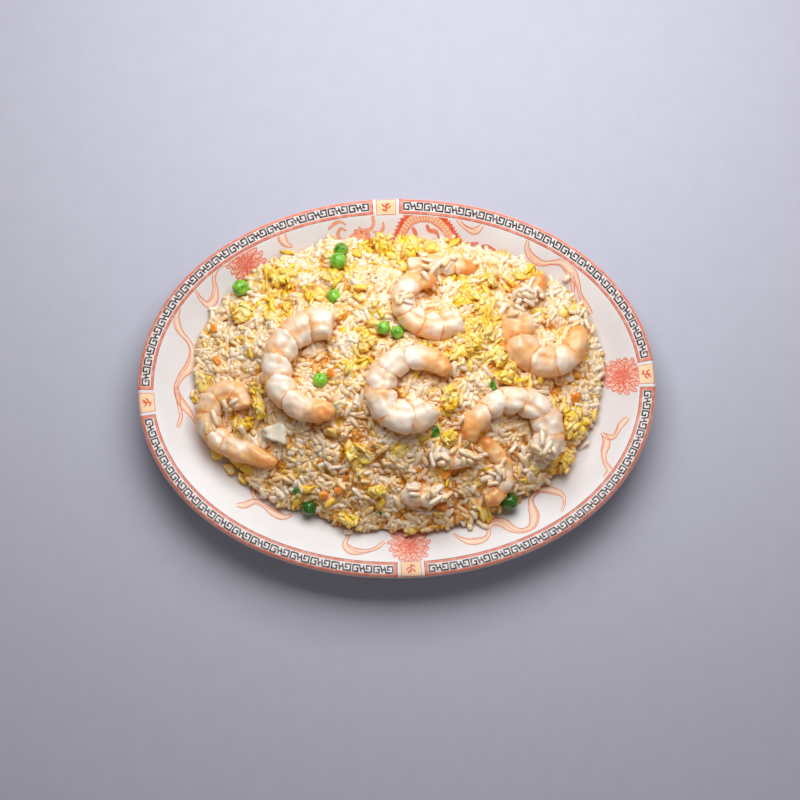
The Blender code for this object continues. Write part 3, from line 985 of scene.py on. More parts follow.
def topping(x, y):
    # height in mm of whatever lies on the rice here
    hit = castDown(toppings, x, y)[0]
    return hit.z / mm if hit else -1.0


def spotted(x, y, spots):
    # how strongly a place is within a list of round, soft spots
    return sum(s * math.exp(-((x - px) ** 2 + (y - py) ** 2) / (r * 0.8) ** 2) for (px, py), r, s in spots)


def riceLevel(x, y, top, share, dish):
    # what the grains are strewn on, empty under toppings; eggy says how much crumbled egg is there
    if share > 1 - heap["inside"] / 95:
        return None
    relief, hollow = reliefAt(x, y, share)
    z = top + lumps(x, y, share) - heap["sunk"] + relief * min(1, 6 * (1 - share))
    free = 0.0 if topping(x, y) > z - 0.8 else 1.0
    egg = (0.14 + spotted(x, y, crumbs["spots"])) * layered(x, y, heap["patches"], 0.5)
    tuft = layered(x, y, heap["tufts"], 0.5)
    # hollow: how deep in a crevice the place is, plus painted shade towards the near side; the rice look
    # darkens both
    return z, {"cover": free, "hollow": hollow + heap["nearSideShade"] * clipped(-(y + 8) / 60),
               "eggy": clipped(egg * 2.4 - 0.30) * free,
               "clump": free * clipped(tuft * 2.2 - 0.1), "crest": free * clipped(tuft * 2.6 - 1.5)}


def drapeLevel(x, y, top, share, dish):
    # over shrimps and egg, where loose grains lie on them, heaped where there are many
    loose = spotted(x, y, rice["onTop"])
    z = topping(x, y)
    if loose < 0.05 or share > 0.99:
        return None
    beside = ((1.4, 0), (-1.4, 0), (0, 1.4), (0, -1.4))
    steep = max(abs(topping(x + dx, y + dy) - z) for dx, dy in beside) > 2.2
    covered = 0.0 if steep or z < 0 else min(1.0, loose * 1.25)
    return max(z, top - heap["sunk"] + lumps(x, y, share)), {
        "cover": covered, "heaped": clipped(loose * 1.6 - 0.9), "hollow": 0.0, "eggy": 0.0}


def edgeLevel(x, y, top, share, dish):
    # the bare dish just outside the rice, where some grains have slid off
    out = (math.hypot(x, y) / heapRadius(math.atan2(y, x)) - 1) / rice["strayWidth"]
    if share < 1.0 or out > 1:
        return None
    near = 0.02 + sum(math.exp(-((x - px) ** 2 + (y - py) ** 2) / r ** 2) for px, py, r in rice["strays"])
    covered = min(1.0, 0.8 * near * (1 - out) ** 1.5)
    return dish + rice["strayLift"], {"cover": covered, "hollow": 0.0, "eggy": 0.0}


crumbs = {
    "kinds": 10, "spacing": 2.8, "share": 1.0, "size": (0.9, 2.2), "keepOff": 0.9, "heights": (0.1, 1.9),
    "tilt": 0.5, "seed": 41,
    "spots": (    # where egg is thick in the rice: place in mm, reach, strength
        ((-66, 60), 12, 1.0), ((-83, 40), 10, 1.0), ((-65, 39), 9, 1.0), ((-56, 50), 13, 0.6),
        ((-45, 45), 6, 1.0), ((-5, 80), 12, 1.0), ((11, 73), 12, 1.0), ((24, 77), 11, 0.9),
        ((35, 60), 10, 0.8), ((42, 35), 15, 1.0), ((38, 46), 12, 0.9), ((30, 20), 12, 0.9),
        ((50, 20), 10, 0.9), ((70, 55), 8, 1.0), ((94, 42), 7, 0.9), ((65, 3), 12, 1.0),
        ((93, -22), 11, 1.0), ((89, -41), 9, 1.0), ((-17, 23), 10, 0.9), ((-24, 13), 8, 0.8),
        ((-9, 28), 9, 0.8), ((-14, 40), 14, 0.35), ((-30, 62), 14, 0.5), ((-40, 75), 9, 0.5),
        ((-15, 60), 10, 0.4), ((-90, -27), 5, 0.9), ((-66, -2), 8, 0.8), ((-51, -63), 6, 0.9),
        ((-29, -70), 9, 0.9), ((-11, -63), 8, 0.9), ((-23, -41), 8, 0.9), ((-97, -38), 8, 0.8),
        ((-106, 8), 6, 0.9), ((18, 10), 10, 0.7), ((27, -14), 8, 0.7), ((24, -32), 9, 0.8),
        ((2, -37), 7, 0.8), ((48, -70), 8, 0.8), ((26, -50), 7, 0.6), ((72, -48), 6, 0.6)),
}
sheets = {name: gridSheet(name, level) for name, level in (
    ("sheet", riceLevel), ("drape", drapeLevel), ("edge", edgeLevel))}
ground = treeOf(sheets["sheet"].data)
toppingGuide = objectOf("toppings", toppingMesh)


def onHeap(x, y):
    # point and normal of the rice under a place in mm
    hit, normal = castDown(ground, x, y)
    if hit is None:    # off the rice, so on the dish
        level = float(platterTop(np.array([x]), np.array([y]))[0])
        return Vector((x * mm, y * mm, level * mm)), Vector((0, 0, 1))
    return hit, normal


def lofted(rings):
    # closed body through rings of equal count, with a middle point at each end
    points, faces, count = [p for ring in rings for p in ring], [], len(rings[0])
    for k in range(len(rings) - 1):
        for i in range(count):
            j = (i + 1) % count
            faces.append((k * count + i, k * count + j, (k + 1) * count + j, (k + 1) * count + i))
    for k in (0, len(rings) - 1):
        points.append(sum((Vector(p) for p in rings[k]), Vector()) / count)
        faces += [(k * count + i, k * count + (i + 1) % count, len(points) - 1) for i in range(count)]
    return points, faces


def makeCore():
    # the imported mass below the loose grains
    turns = np.linspace(-math.pi, math.pi, heap["coreSides"], endpoint=False)
    radius = heapRadius(turns) - heap["coreInside"]
    rings = []
    for k in range(1, heap["coreRings"] + 1):
        part = 1 - (1 - k / heap["coreRings"]) ** 1.3
        x, y = radius * part * np.cos(turns), radius * part * np.sin(turns)
        top, share = heapTop(x, y)
        floor = platterTop(x, y) + 0.5
        ring = []
        for i in range(len(turns)):
            relief, gap = reliefAt(x[i], y[i], share[i])
            fine = heap["grainy"] * (abs(rough(x[i], y[i], heap["grainySize"], 2.2)) * 2 - 0.4)
            z = top[i] + lumps(x[i], y[i], share[i]) + relief - fine - heap["coreSunk"]
            ring.append(Vector((x[i], y[i], max(z, floor[i] + 0.3))) * mm)
        rings.append(ring)
    for part in (0.98, 0.8, 0.5, 0.2):
        x, y = radius * part * np.cos(turns), radius * part * np.sin(turns)
        rings.append([Vector(p) * mm for p in zip(x, y, platterTop(x, y) + 0.45)])
    made = objectOf("rice_core", meshOf("rice_core", *lofted(rings)))
    outward(made.data)
    made.data.materials.append(finish("oiledRice", oiledRice, specular=0.4, soft=0.3, softScale=0.002,
                                      softRadius=(1.0, 0.6, 0.25), coat=0.15, coatRoughness=0.2))
    settle(made, "rice", "rice_heap")


def oiledRice(g):
    # what shows between grains: soft rice in cream, amber and brown sauce colours in random clouds, kept
    # darker and warmer than the grains as painted shade between them
    fine, wide = g.noise(430, 3), g.noise(85, 2)
    soft = g.mix(wide.within(0.38, 0.62), rice["cream"], rice["amber"])
    return {"Base Color": g.mix(fine.within(0.47, 0.66, 0.0, 0.85), soft, rice["brown"]),
            "Roughness": fine * 0.3 + 0.3,
            "Normal": g.bump(0.6, 0.5, fine)}


def riceSkin(g):
    # each grain has its own tone and a random share of sauce colour; as painted shade, grains in hollows, on
    # the near side, in deeper layers and on their undersides turn creamier and amber to brown; those by egg
    # take some yellow
    own, hollow = g.attribute("tone"), g.attribute("hollow")
    # the layer's depth and how far the surface faces down, both used for painted shade
    depth = g.attribute("depth") + g.attribute("under")
    milky, fine = g.noise(700, 2), g.noise(2600, 2)
    plain = (own * 0.8 + milky * 0.5 + hollow * 0.3).within(0.35, 1.12)
    skin = g.mix(plain, rice["pearl"], rice["cream"])
    # painted shade, with a random share of real sauce: how much of the sauce colours a place takes
    sauceAndShade = (hollow * (depth * 0.75 + 0.3) + depth * 0.64 + own * 0.25).within(0.34, 1.05, 0.0, 0.97)
    shadedSauce = g.mix((hollow + depth * 0.5 - 0.3).within(0.0, 0.75), rice["amber"], rice["brown"])
    egged = (g.attribute("eggy") + own * 0.5).within(0.45, 1.4, 0.0, 0.6)
    return {"Base Color": g.mix(egged, g.mix(sauceAndShade, skin, shadedSauce), rice["eggy"]),
            "Roughness": fine * 0.22 + 0.20,
            "Normal": g.bump(0.3, 0.2, fine + milky)}


def shelf(name, shapes):
    # a collection to choose shapes from
    kinds = bpy.data.collections.new(name)
    bpy.context.scene.collection.children.link(kinds)
    for k, mesh in enumerate(shapes):
        mesh.shade_smooth()
        kinds.objects.link(bpy.data.objects.new(name + str(k), mesh))
    return kinds


def emptyShelf(kinds):
    drop(*kinds.objects)
    bpy.data.collections.remove(kinds)


def makeGrains():
    # a few cooked grains to choose from: blunt, slightly bent, each a little different
    dice = random.Random(5)
    short, long = rice["length"]
    grains = []
    for kind in range(rice["kinds"]):
        length = short + (long - short) * kind / (rice["kinds"] - 1) if kind else rice["broken"]
        width = dice.uniform(*rice["width"])
        bend = dice.uniform(*rice["bend"])
        rings = []
        for t, girth in rice["profile"]:
            girth *= dice.uniform(0.92, 1.06)
            along = (t - 0.5) * length
            ring = []
            for i in range(rice["sides"]):
                turn = tau * i / rice["sides"] + 0.2
                ring.append(Vector((along, math.cos(turn) * width / 2 * girth + bend * (1 - (2 * t - 1) ** 2),
                                    math.sin(turn) * width * 0.44 * girth)) * mm)
            rings.append(ring)
        grains.append(meshOf("grain", *lofted(rings)))
        outward(grains[-1])
    return shelf("grainKinds", grains)


def strewRecipe():
    # strews copies of a collection's shapes over a sheet, turned and tilted at random
    g = Recipe("strew", {
        "kinds": "Collection", "toppings": "Object", "spacing": "Float", "keepOff": "Float", "low": "Float",
        "high": "Float", "tilt": "Float", "small": "Float", "large": "Float", "share": "Float",
        "mask": "String", "seed": "Int", "choices": "Int", "depth": "Float"})

    def chance(low, high, step, kind="FLOAT"):
        return g.node("FunctionNodeRandomValue", {"data_type": kind},
                      {"Min": low, "Max": high, "Seed": g.given("seed") + step}, "Value")

    mask = g.node("GeometryNodeInputNamedAttribute", {"data_type": "FLOAT"}, {"Name": g.given("mask")},
                  "Attribute")
    spread = g.node("GeometryNodeDistributePointsOnFaces", {"distribute_method": "POISSON"}, {
        "Mesh": g.given("Geometry"), "Distance Min": g.given("spacing"), "Density Max": 1e6,
        "Density Factor": mask * g.given("share"), "Seed": g.given("seed")}, "Points")
    height = chance(g.given("low"), g.given("high"), 1)
    raised = g.node("GeometryNodeSetPosition", {}, {
        "Geometry": spread, "Offset": g.scaled(spread.other("Normal"), height)})
    guide = g.node("GeometryNodeObjectInfo", {}, {"Object": g.given("toppings")}, "Geometry")
    near = g.node("GeometryNodeProximity", {"target_element": "FACES"}, {0: guide}, "Distance")
    clear = g.node("GeometryNodeDeleteGeometry", {"domain": "POINT"}, {
        "Geometry": raised, "Selection": near.maths("LESS_THAN", g.given("keepOff"))})
    swing = g.vectorOf(chance(0.0, tau, 2), chance(g.given("tilt") * -1, g.given("tilt"), 3),
                       chance(0.0, tau, 4))
    turned = g.node("FunctionNodeRotateRotation", {"rotation_space": "LOCAL"}, {
        "Rotation": spread.other("Rotation"),
        "Rotate By": g.node("FunctionNodeEulerToRotation", {}, {"Euler": swing})})
    shapes = g.node("GeometryNodeCollectionInfo", {}, {
        "Collection": g.given("kinds"), "Separate Children": True, "Reset Children": True}, "Instances")
    many = g.node("GeometryNodeInstanceOnPoints", {}, {
        "Points": clear, "Instance": shapes, "Pick Instance": True,
        "Instance Index": chance(0, g.given("choices") - 1, 5, "INT"), "Rotation": turned,
        "Scale": chance(g.given("small"), g.given("large"), 6)}, "Instances")
    for label, value in (("tone", chance(0.0, 1.0, 7)), ("depth", g.given("depth"))):
        many = g.node("GeometryNodeStoreNamedAttribute", {"data_type": "FLOAT", "domain": "INSTANCE"}, {
            "Geometry": many, "Name": label, "Value": value})
    solid = g.node("GeometryNodeRealizeInstances", {}, {"Geometry": many}, "Geometry")
    # under: how far each point faces down, which the rice and egg looks use for painted shade
    facing = g.split(g.node("GeometryNodeInputNormal")).other("Z")
    return g.close(g.node("GeometryNodeStoreNamedAttribute", {"data_type": "FLOAT", "domain": "POINT"}, {
        "Geometry": solid, "Name": "under", "Value": facing * -0.5 + 0.5}))


strew = strewRecipe()
grainKinds = makeGrains()
riceLook = finish("steamedRice", riceSkin, specular=0.55, ior=1.4, soft=0.25,
                  softScale=0.0008, softRadius=(1.0, 0.95, 0.9), coat=0.5, coatRoughness=0.12)


def makeRice():
    def layer(name, over, mask, gap, low, high, share, seed, apart=1.1, depth=0.0):
        small, large = rice["scale"]
        made = grow(strew, over, name, riceLook, kinds=grainKinds, toppings=toppingGuide, spacing=gap * mm,
                    keepOff=apart * mm, low=low * mm, high=high * mm, tilt=rice["tilt"], small=small,
                    large=large, share=share, mask=mask, seed=seed, choices=rice["kinds"], depth=depth)
        settle(made, "rice")

    # depth: 1 for the deep layer and 0.5 for the middle one, which the rice look turns into painted shade
    for (label, *numbers, where), depth in zip(rice["layers"], (1.0, 0.5, 0.0, 0.0)):
        layer("rice_" + label, sheets["sheet"], where, *numbers, depth=depth)
    for label, over, *numbers, where in rice["loose"]:
        layer("rice_" + label, sheets[over], where, *numbers)


makeCore()


# Shrimps, each on its side. start is the cut head end in mm, heading and turn are in degrees, lean shifts
# the bend, lift is the spine over the rice, flush is how orange it is, and tail what its end is.
shrimps = {
    "shrimp_1": dict(start=(-36.5, 29.5), heading=170, length=87, turn=210, lean=0.0, width=18.6, lift=4.6,
                     flush=0.30, tail="nub"),
    "shrimp_2": dict(start=(16.0, -17.2), heading=-128, length=84, turn=-284, lean=0.35, width=18.4, lift=4.4,
                     flush=0.28, tail="bare"),
    "shrimp_3": dict(start=(33.2, 31.0), heading=-158, length=61, turn=-245, lean=-0.65, width=15.8, lift=2.8,
                     flush=0.38, tail="bare"),
    "shrimp_4": dict(start=(9.0, 63.2), heading=12, length=35, turn=-24, lean=0.0, width=13.0, lift=1.0,
                     flush=0.50, tail="bare"),
    "shrimp_5": dict(start=(68.5, 34.0), heading=-117, length=63, turn=222, lean=0.0, width=19.0, lift=3.2,
                     flush=0.40, tail="bare"),
    "shrimp_6": dict(start=(79.0, -38.0), heading=54, length=74, turn=206, lean=0.4, width=17.4, lift=3.6,
                     flush=0.32, tail="tuft"),
    "shrimp_7": dict(start=(-84.4, -11.0), heading=102, length=78, turn=224, lean=1.65, width=15.2, lift=3.0,
                     flush=0.48, tail="bare"),
    "shrimp_8": dict(start=(49.0, -62.5), heading=18, length=40, turn=140, lean=0.5, width=12.6, lift=0.4,
                     flush=0.60, tail="bare"),
    "shrimp_9": dict(start=(22.4, -40.2), heading=-26, length=22, turn=56, lean=0.0, width=13.0, lift=-1.0,
                     flush=0.50, tail="bare"),
    "shrimp_10": dict(start=(5.0, -59.6), heading=-22, length=24, turn=48, lean=0.0, width=13.6, lift=-0.6,
                      flush=0.40, tail="bare"),
    "shrimp_11": dict(start=(66.2, 47.6), heading=14, length=21, turn=70, lean=-0.4, width=13.4, lift=1.4,
                      flush=1.10, tail="bare"),
}
flesh = {
    "sides": 40, "ringGap": 0.62, "flatness": 0.84, "seamGap": 0.65, "bow": 0.030,
    "groove": 0.6, "grooveWide": 0.7, "lobe": 0.08, "crease": 1.2, "uneven": 0.9, "mid": 0.7, "fine": 0.36,
    # peach and orange show the real flush, and also painted shade in the crease and on the lower side
    "pearl": (255, 232, 216), "milk": (255, 244, 236), "peach": (255, 194, 132), "seam": (240, 138, 36),
    "orange": (247, 146, 44),
    "tails": {"bare": (0, 0.0, 0.0), "nub": (5, 3.0, 2.1), "tuft": (7, 3.2, 0.9)},    # lobes, length, width
}


def shrimpSpine(spec, rings):
    # middle line of the bent body; its height follows the rice at half its slope
    steps = (rings - 1) * 4
    place, points, headings = Vector(spec["start"]), [], []
    for k in range(steps + 1):
        t = k / steps
        heading = math.radians(spec["heading"] + spec["turn"] * (t + spec["lean"] * t * (1 - t)))
        if k % 4 == 0:
            points.append(place.copy())
            headings.append(heading)
        place += spec["length"] / steps * Vector((math.cos(heading), math.sin(heading)))
    levels = heapTop([p.x for p in points], [p.y for p in points])[0]
    heights = 0.55 * levels + 0.45 * levels.mean() + spec["lift"]
    return [Vector((p.x, p.y, z)) for p, z in zip(points, heights)], headings


def addTo(points, faces, bm):
    start = len(points)
    bm.verts.index_update()
    points += [v.co.copy() for v in bm.verts]
    faces += [[start + v.index for v in f.verts] for f in bm.faces]
    bm.free()


def girthAt(t):
    # body width along the length, as in the solid
    taper = 1 - 0.42 * max(0.0, t - 0.12) ** 1.5
    tail = math.sqrt(max(0.0, 1 - max(0.0, (t - 0.84) / 0.165) ** 2))
    return taper * (0.26 + 0.74 * tail) * (0.90 + 0.10 * min(1.0, t / 0.08))


def segmentAt(t, seams):
    # where in its segment a place is, 0 to 1, and the distance to the nearest seam as a share of the length
    for low, high in zip((-0.02, *seams), (*seams, 0.93)):
        if t <= high:
            return (t - low) / (high - low), min(abs(t - s) for s in seams)
    return 1.0, abs(t - seams[-1])


def tailEnd(points, faces, spec, place, heading, dice):
    # the stump of the tail: a white nub or a little tuft of shell, ragged; nothing on a bare end
    ahead = Vector((math.cos(heading), math.sin(heading), 0.0))
    side = Vector((-ahead.y, ahead.x, 0.0))
    count, long, wide = flesh["tails"][spec["tail"]]
    for _ in range(count):
        bm = ball(2)
        swing = dice.uniform(-1.0, 1.0)
        turn = Matrix.Rotation(heading + swing * 0.7, 4, "Z")
        turn = turn @ Matrix.Rotation(dice.uniform(-0.3, 0.3), 4, "Y")
        shift = Vector((dice.uniform(0, 50), 0, 0))
        for vert in bm.verts:
            vert.co *= 1 + 0.7 * noise.noise(vert.co * 1.7 + shift)
            vert.co = Vector((vert.co.x * long, vert.co.y * wide, vert.co.z * 0.9)) * mm
        at = place + side * swing * 2.6 + ahead * dice.uniform(0.2, 1.8)
        at += Vector((0, 0, dice.uniform(0.2, 1.4)))
        bmesh.ops.transform(bm, verts=bm.verts, matrix=Matrix.Translation(at * mm) @ turn)
        addTo(points, faces, bm)


def makeShrimp(name, spec, look):
    seed = float(name.split("_")[1]) * 7.3
    dice = random.Random(int(seed * 10))
    rings = int(spec["length"] / flesh["ringGap"])
    spine, headings = shrimpSpine(spec, rings)
    length, width = spec["length"], spec["width"]
    inner = 1 if spec["turn"] > 0 else -1    # which side the belly is on
    gap = flesh["seamGap"] * width / length
    seams = [gap * (k + dice.uniform(-0.08, 0.08)) for k in range(1, 6) if gap * k < 0.80]
    wobble = [dice.uniform(-0.012, 0.012) for _ in range(8)]
    rows, seam, blushAndShade, skin = [], [], [], []
    cap = 6
    for k in range(-cap, rings):
        t = max(k, 0) / (rings - 1)
        centre, heading = spine[max(k, 0)], headings[max(k, 0)]
        ahead = (spine[min(max(k, 0) + 1, rings - 1)] - spine[max(k - 1, 0)]).normalized()
        side = Vector((-math.sin(heading), math.cos(heading), 0.0)) * inner
        up = ahead.cross(side)
        up = up if up.z > 0 else -up
        rounding = 1.0
        if k < 0:    # the cut head end swells out a little past the solid's flat end
            far = -k / cap
            rounding = math.sqrt(max(0.0, 1 - (far * 0.985) ** 2))
            centre = centre - ahead * (2.3 * math.sin(far * math.pi / 2))
        ring = []
        for i in range(flesh["sides"]):
            turn = tau * (i + 0.5) / flesh["sides"]
            across, high = math.cos(turn), math.sin(turn)
            belly = max(0.0, across)
            bow = flesh["bow"] * (1 - across * across) if high > 0 else 0.0
            place = t + bow + wobble[int(t * 7.99)] * across + 0.010 * rough(across * 3, t * 9, 1.0, seed)
            phase, off = segmentAt(place, seams)
            off *= length
            swell = math.sin(math.pi * clipped(phase)) ** 0.55
            groove = math.exp(-(off / flesh["grooveWide"]) ** 2)
            late, early = clipped((0.93 - t) / 0.1), clipped((0.60 - t) / 0.15)
            bulge = 0.35 + 1.5 * belly ** 1.3 - 0.1 * max(0, -across)
            bulge *= flesh["lobe"] * (swell - 0.55) * late
            crease = math.exp(-((across - 0.22 + 0.15 * t) / 0.17) ** 2) * early * max(0.0, high)
            crease *= 0.3 + 0.7 * swell
            flatter = 1 - 0.10 * belly ** 3
            half = width / 2 * girthAt(t) * rounding
            spot = centre + (side * across * flatter + up * high * flesh["flatness"]) * half * (1 + bulge)
            normal = (side * across + up * high / flesh["flatness"]).normalized()
            dent = flesh["groove"] * groove * (0.55 + 0.8 * belly) * late + flesh["crease"] * crease
            body = rough(spot.x, spot.y, 6.5, seed + spot.z / 6.5)
            small = rough(spot.x, spot.y, 2.4, seed + 9 + spot.z / 2.4)
            ragged = 0.0
            if k < 0:
                ragged = 1.1 * rough(spot.x, spot.y, 2.1, seed + spot.z / 2.1) * (0.4 + far)
            middle = rough(spot.x, spot.y, 4.0, seed + 5 + spot.z / 4.0)
            spot += normal * (-dent * rounding + flesh["uneven"] * body + flesh["mid"] * middle
                              + flesh["fine"] * small + ragged)
            ring.append(spot * mm)
            seam.append(groove * late if k >= 0 else 0.0)
            patch = 0.5 + 0.5 * rough(spot.x, spot.y, 11, seed + 3)
            pinker = max(0.0, (phase - 0.45) / 0.55) ** 2 * late    # towards the back of each segment
            # partly the real orange (random patches, the back of each segment, the tail end, a paler belly)
            # and partly painted shade: more peach in the crease and on the lower side
            blushAndShade.append(clipped(spec["flush"] * (0.05 + 1.8 * patch) + 0.30 * pinker + 0.25 * crease
                                 + 0.70 * max(0, (t - 0.72) / 0.28) - 0.15 * belly * (1 - pinker)
                                 + 0.30 * (1 - max(0.0, high)) - 0.08))
            skin.append((t * length * mm, turn * width / 2 * mm, seed * mm))
        rows.append(ring)
    points, faces = lofted(rows)
    tailEnd(points, faces, spec, spine[-1], headings[-1], dice)
    flushAndShade = 0.9 if spec["tail"] == "tuft" else 0.7
    for values, filler in ((seam, 0.0), (blushAndShade, flushAndShade), (skin, (0.0, 0.0, 0.0))):    # the tail's own points
        values += [filler] * (len(points) - len(values))
    mesh = meshOf(name + "_flesh", points, faces)
    mark(mesh, "seam", seam)
    mark(mesh, "blushAndShade", blushAndShade)
    mark(mesh, "skin", [c for p in skin for c in p], "FLOAT_VECTOR", "vector")
    outward(mesh)
    settle(objectOf(name + "_flesh", coated(mesh, look)), "shrimp", name)


def shrimpLook(g):
    # pearly wet flesh: peach and orange where it is flushed and, as painted shade, in the crease and on the
    # lower side; thin orange lines in the seams, faint fibres along it
    seam, blushAndShade = g.attribute("seam"), g.attribute("blushAndShade")
    skin = g.attribute("skin", "Vector")
    fibres = g.noise(1.0, 3, g.vector("MULTIPLY", skin, (260, 1300, 900)))
    cloud, fine = g.noise(150, 2), g.noise(760, 3)
    base = g.mix(cloud.within(0.40, 0.62), flesh["pearl"], flesh["milk"])
    warm = g.mix((blushAndShade + cloud * 0.9 - 0.40).within(0.10, 0.75), base, flesh["peach"])
    flushAndShade = (blushAndShade + cloud * 0.4 + fine * 0.3 - 0.45).within(0.52, 0.95, 0.0, 0.7)
    hot = g.mix(flushAndShade, warm, flesh["orange"])
    broken = g.noise(300, 2).within(0.38, 0.60)
    line = (seam ** 3 * (blushAndShade * 1.3 + 0.45) * broken).within(0.05, 0.7, 0.0, 0.9)
    return {"Base Color": g.mix(line, hot, flesh["seam"]),
            "Roughness": fine * 0.20 + cloud * 0.12 + 0.24,
            "Normal": g.bump(0.45, 0.35, fibres * 0.7 + fine * 0.5)}


def makeShrimps():
    look = finish("cookedShrimp", shrimpLook, specular=0.55, ior=1.4, soft=0.7,
                  softScale=0.004, softRadius=(1.0, 0.65, 0.45), coat=0.5, coatRoughness=0.18)
    for name, spec in shrimps.items():
        makeShrimp(name, spec, look)
    print("shrimps made:", len(shrimps))


makeShrimps()


# Peas.
peas = {
    "skin": (136, 206, 58), "shade": (60, 150, 26), "light": (190, 230, 110), "leaf": (26, 92, 14),
    "segments": (24, 16), "slack": 0.075, "dimple": 0.22,
    "dark": {"pea_8": 1.0, "pea_9": 0.9, "pea_2": 0.45},
}


def makePeas():
    # each pea keeps its solid's middle and size; the skin is a little slack, with a dimple
    names = sorted(n for n in frame["nodes"] if n.startswith("pea_"))
    points, faces, dark = [], [], []
    for k, name in enumerate(names):
        low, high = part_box(name)
        centre, radius = (low + high) / 2, (high - low).x / 2
        bm = bmesh.new()
        around, along = peas["segments"]
        bmesh.ops.create_uvsphere(bm, u_segments=around, v_segments=along, radius=1.0)
        dimple = Vector((math.cos(k * 2.4), math.sin(k * 2.4) - 0.6, 0.9)).normalized()
        for vert in bm.verts:
            dent = peas["dimple"] * math.exp(-(1 - vert.co.dot(dimple)) / 0.06)
            slack = peas["slack"] * noise.noise(vert.co * 2.2 + Vector((k * 3.1, 0, 0)))
            vert.co *= 1.01 * (1 - dent + slack) * radius
            vert.co += centre
        dark += [peas["dark"].get(name, 0.0)] * len(bm.verts)
        addTo(points, faces, bm)
    made = objectOf("peas", meshOf("peas", points, faces))
    outward(made.data)
    mark(made.data, "dark", dark)

    def skin(g):
        cloud, fine = g.noise(260, 2), g.noise(1500, 2)
        dark = g.attribute("dark")
        fresh = g.mix(cloud.within(0.38, 0.75), peas["skin"], peas["shade"])
        green = g.mix((dark + cloud - 0.5).within(0.15, 0.85), fresh, peas["leaf"])
        return {"Base Color": g.mix(fine.within(0.5, 0.8, 0.0, 0.4), green, peas["light"]),
                "Roughness": fine * 0.15 + 0.20,
                "Normal": g.bump(0.3, 0.3, cloud)}

    made.data.materials.append(finish("peaSkin", skin, soft=0.12, softScale=0.002,
                                      coat=0.5, coatRoughness=0.08))
    settle(made, "pea", *names)


makePeas()


# Scrambled egg.
eggs = {
    # deep is the orange of the painted shade under the curds
    "yolk": (255, 215, 62), "pale": (255, 230, 148), "deep": (255, 182, 0), "browned": (255, 168, 20),
    "ridge": 1.5, "ridgeSize": 5.4, "curd": 0.5, "curdSize": 1.8, "base": 0.84, "perCurd": 13.0, "thick": 5.0,
    "small": (    # place in mm, length and width, direction
        ((20.2, 76.3), (8.8, 7.7), 40), ((25.0, -44.6), (9.4, 7.7), 10), ((73.0, -46.1), (8.2, 7.7), 70),
        ((48.0, -71.8), (8.8, 7.7), 120), ((0.1, -37.8), (7.7, 8.8), 30),
        ((-109.6, -4.3), (9.4, 7.7), 60), ((-92.5, -44.5), (8.0, 5.6), 140),
        ((-85.5, -49.5), (7.4, 5.0), 120), ((-99.7, -35.9), (8.8, 6.6), 150),
        ((-24.0, -40.2), (7.7, 6.6), 80)),
}


def curdled(bm, seed):
    # folds and fine curds pushed out of a plain lump
    bm.normal_update()
    shifts = []
    for vert in bm.verts:
        at = vert.co / mm
        fold = 1 - 2 * abs(noise.noise(at / eggs["ridgeSize"] + Vector((seed, 2.0, 0))))
        curd = noise.noise(at / eggs["curdSize"] + Vector((0, seed, 4.0)))
        shifts.append(vert.normal * (eggs["ridge"] * (fold - 0.55) + eggs["curd"] * curd) * mm)
    for vert, shift in zip(bm.verts, shifts):
        vert.co += shift


def crowded(points, faces, lump, seed, size):
    # small curds and short folds lying over a lump, more of them on a wide one
    dice = random.Random(seed)
    lump.faces.ensure_lookup_table()
    upper = [f for f in lump.faces if f.normal.z > 0.15]
    for _ in range(int(5 + size / eggs["perCurd"] * 2)):
        face = dice.choice(upper)
        bm = ball(3)
        long = dice.uniform(1.6, 3.6)
        stretch = Vector((long, dice.uniform(1.1, 1.9), dice.uniform(0.7, 1.2)))
        shift = Vector((dice.uniform(0, 90), 0, 0))
        for vert in bm.verts:
            lumpy = 1 + 0.5 * noise.noise(vert.co * 1.5 + shift) + 0.15 * noise.noise(vert.co * 4 + shift)
            vert.co = Vector(a * b for a, b in zip(vert.co, stretch)) * lumpy
            vert.co.z += 0.16 * vert.co.x ** 2 / long
            vert.co *= mm
        turn = standing(face.normal, dice.uniform(0, tau)) @ Matrix.Rotation(dice.uniform(-0.5, 0.5), 4, "Y")
        place = Matrix.Translation(face.calc_center_median() + face.normal * 0.5 * mm)
        bmesh.ops.transform(bm, verts=bm.verts, matrix=place @ turn)
        addTo(points, faces, bm)


def eggLook(g):
    # yellow curds, paler in wide clouds, browned in places; as painted shade the undersides turn a deeper
    # orange, with some of it in fine random clouds
    wide, fine, speck = g.noise(150, 2), g.noise(520, 3), g.noise(1900, 2)
    yellow = g.mix(wide.within(0.36, 0.60), eggs["yolk"], eggs["pale"])
    # painted shade: deeper orange where the surface faces down
    low = (g.attribute("under") * 1.2 + fine * 0.9).within(0.45, 1.00, 0.0, 0.95)
    deep = g.mix(low, yellow, eggs["deep"])
    return {"Base Color": g.mix(speck.within(0.62, 0.8, 0.0, 0.35), deep, eggs["browned"]),
            "Roughness": fine * 0.3 + 0.26,
            "Normal": g.bump(0.5, 0.35, fine + speck * 0.5)}


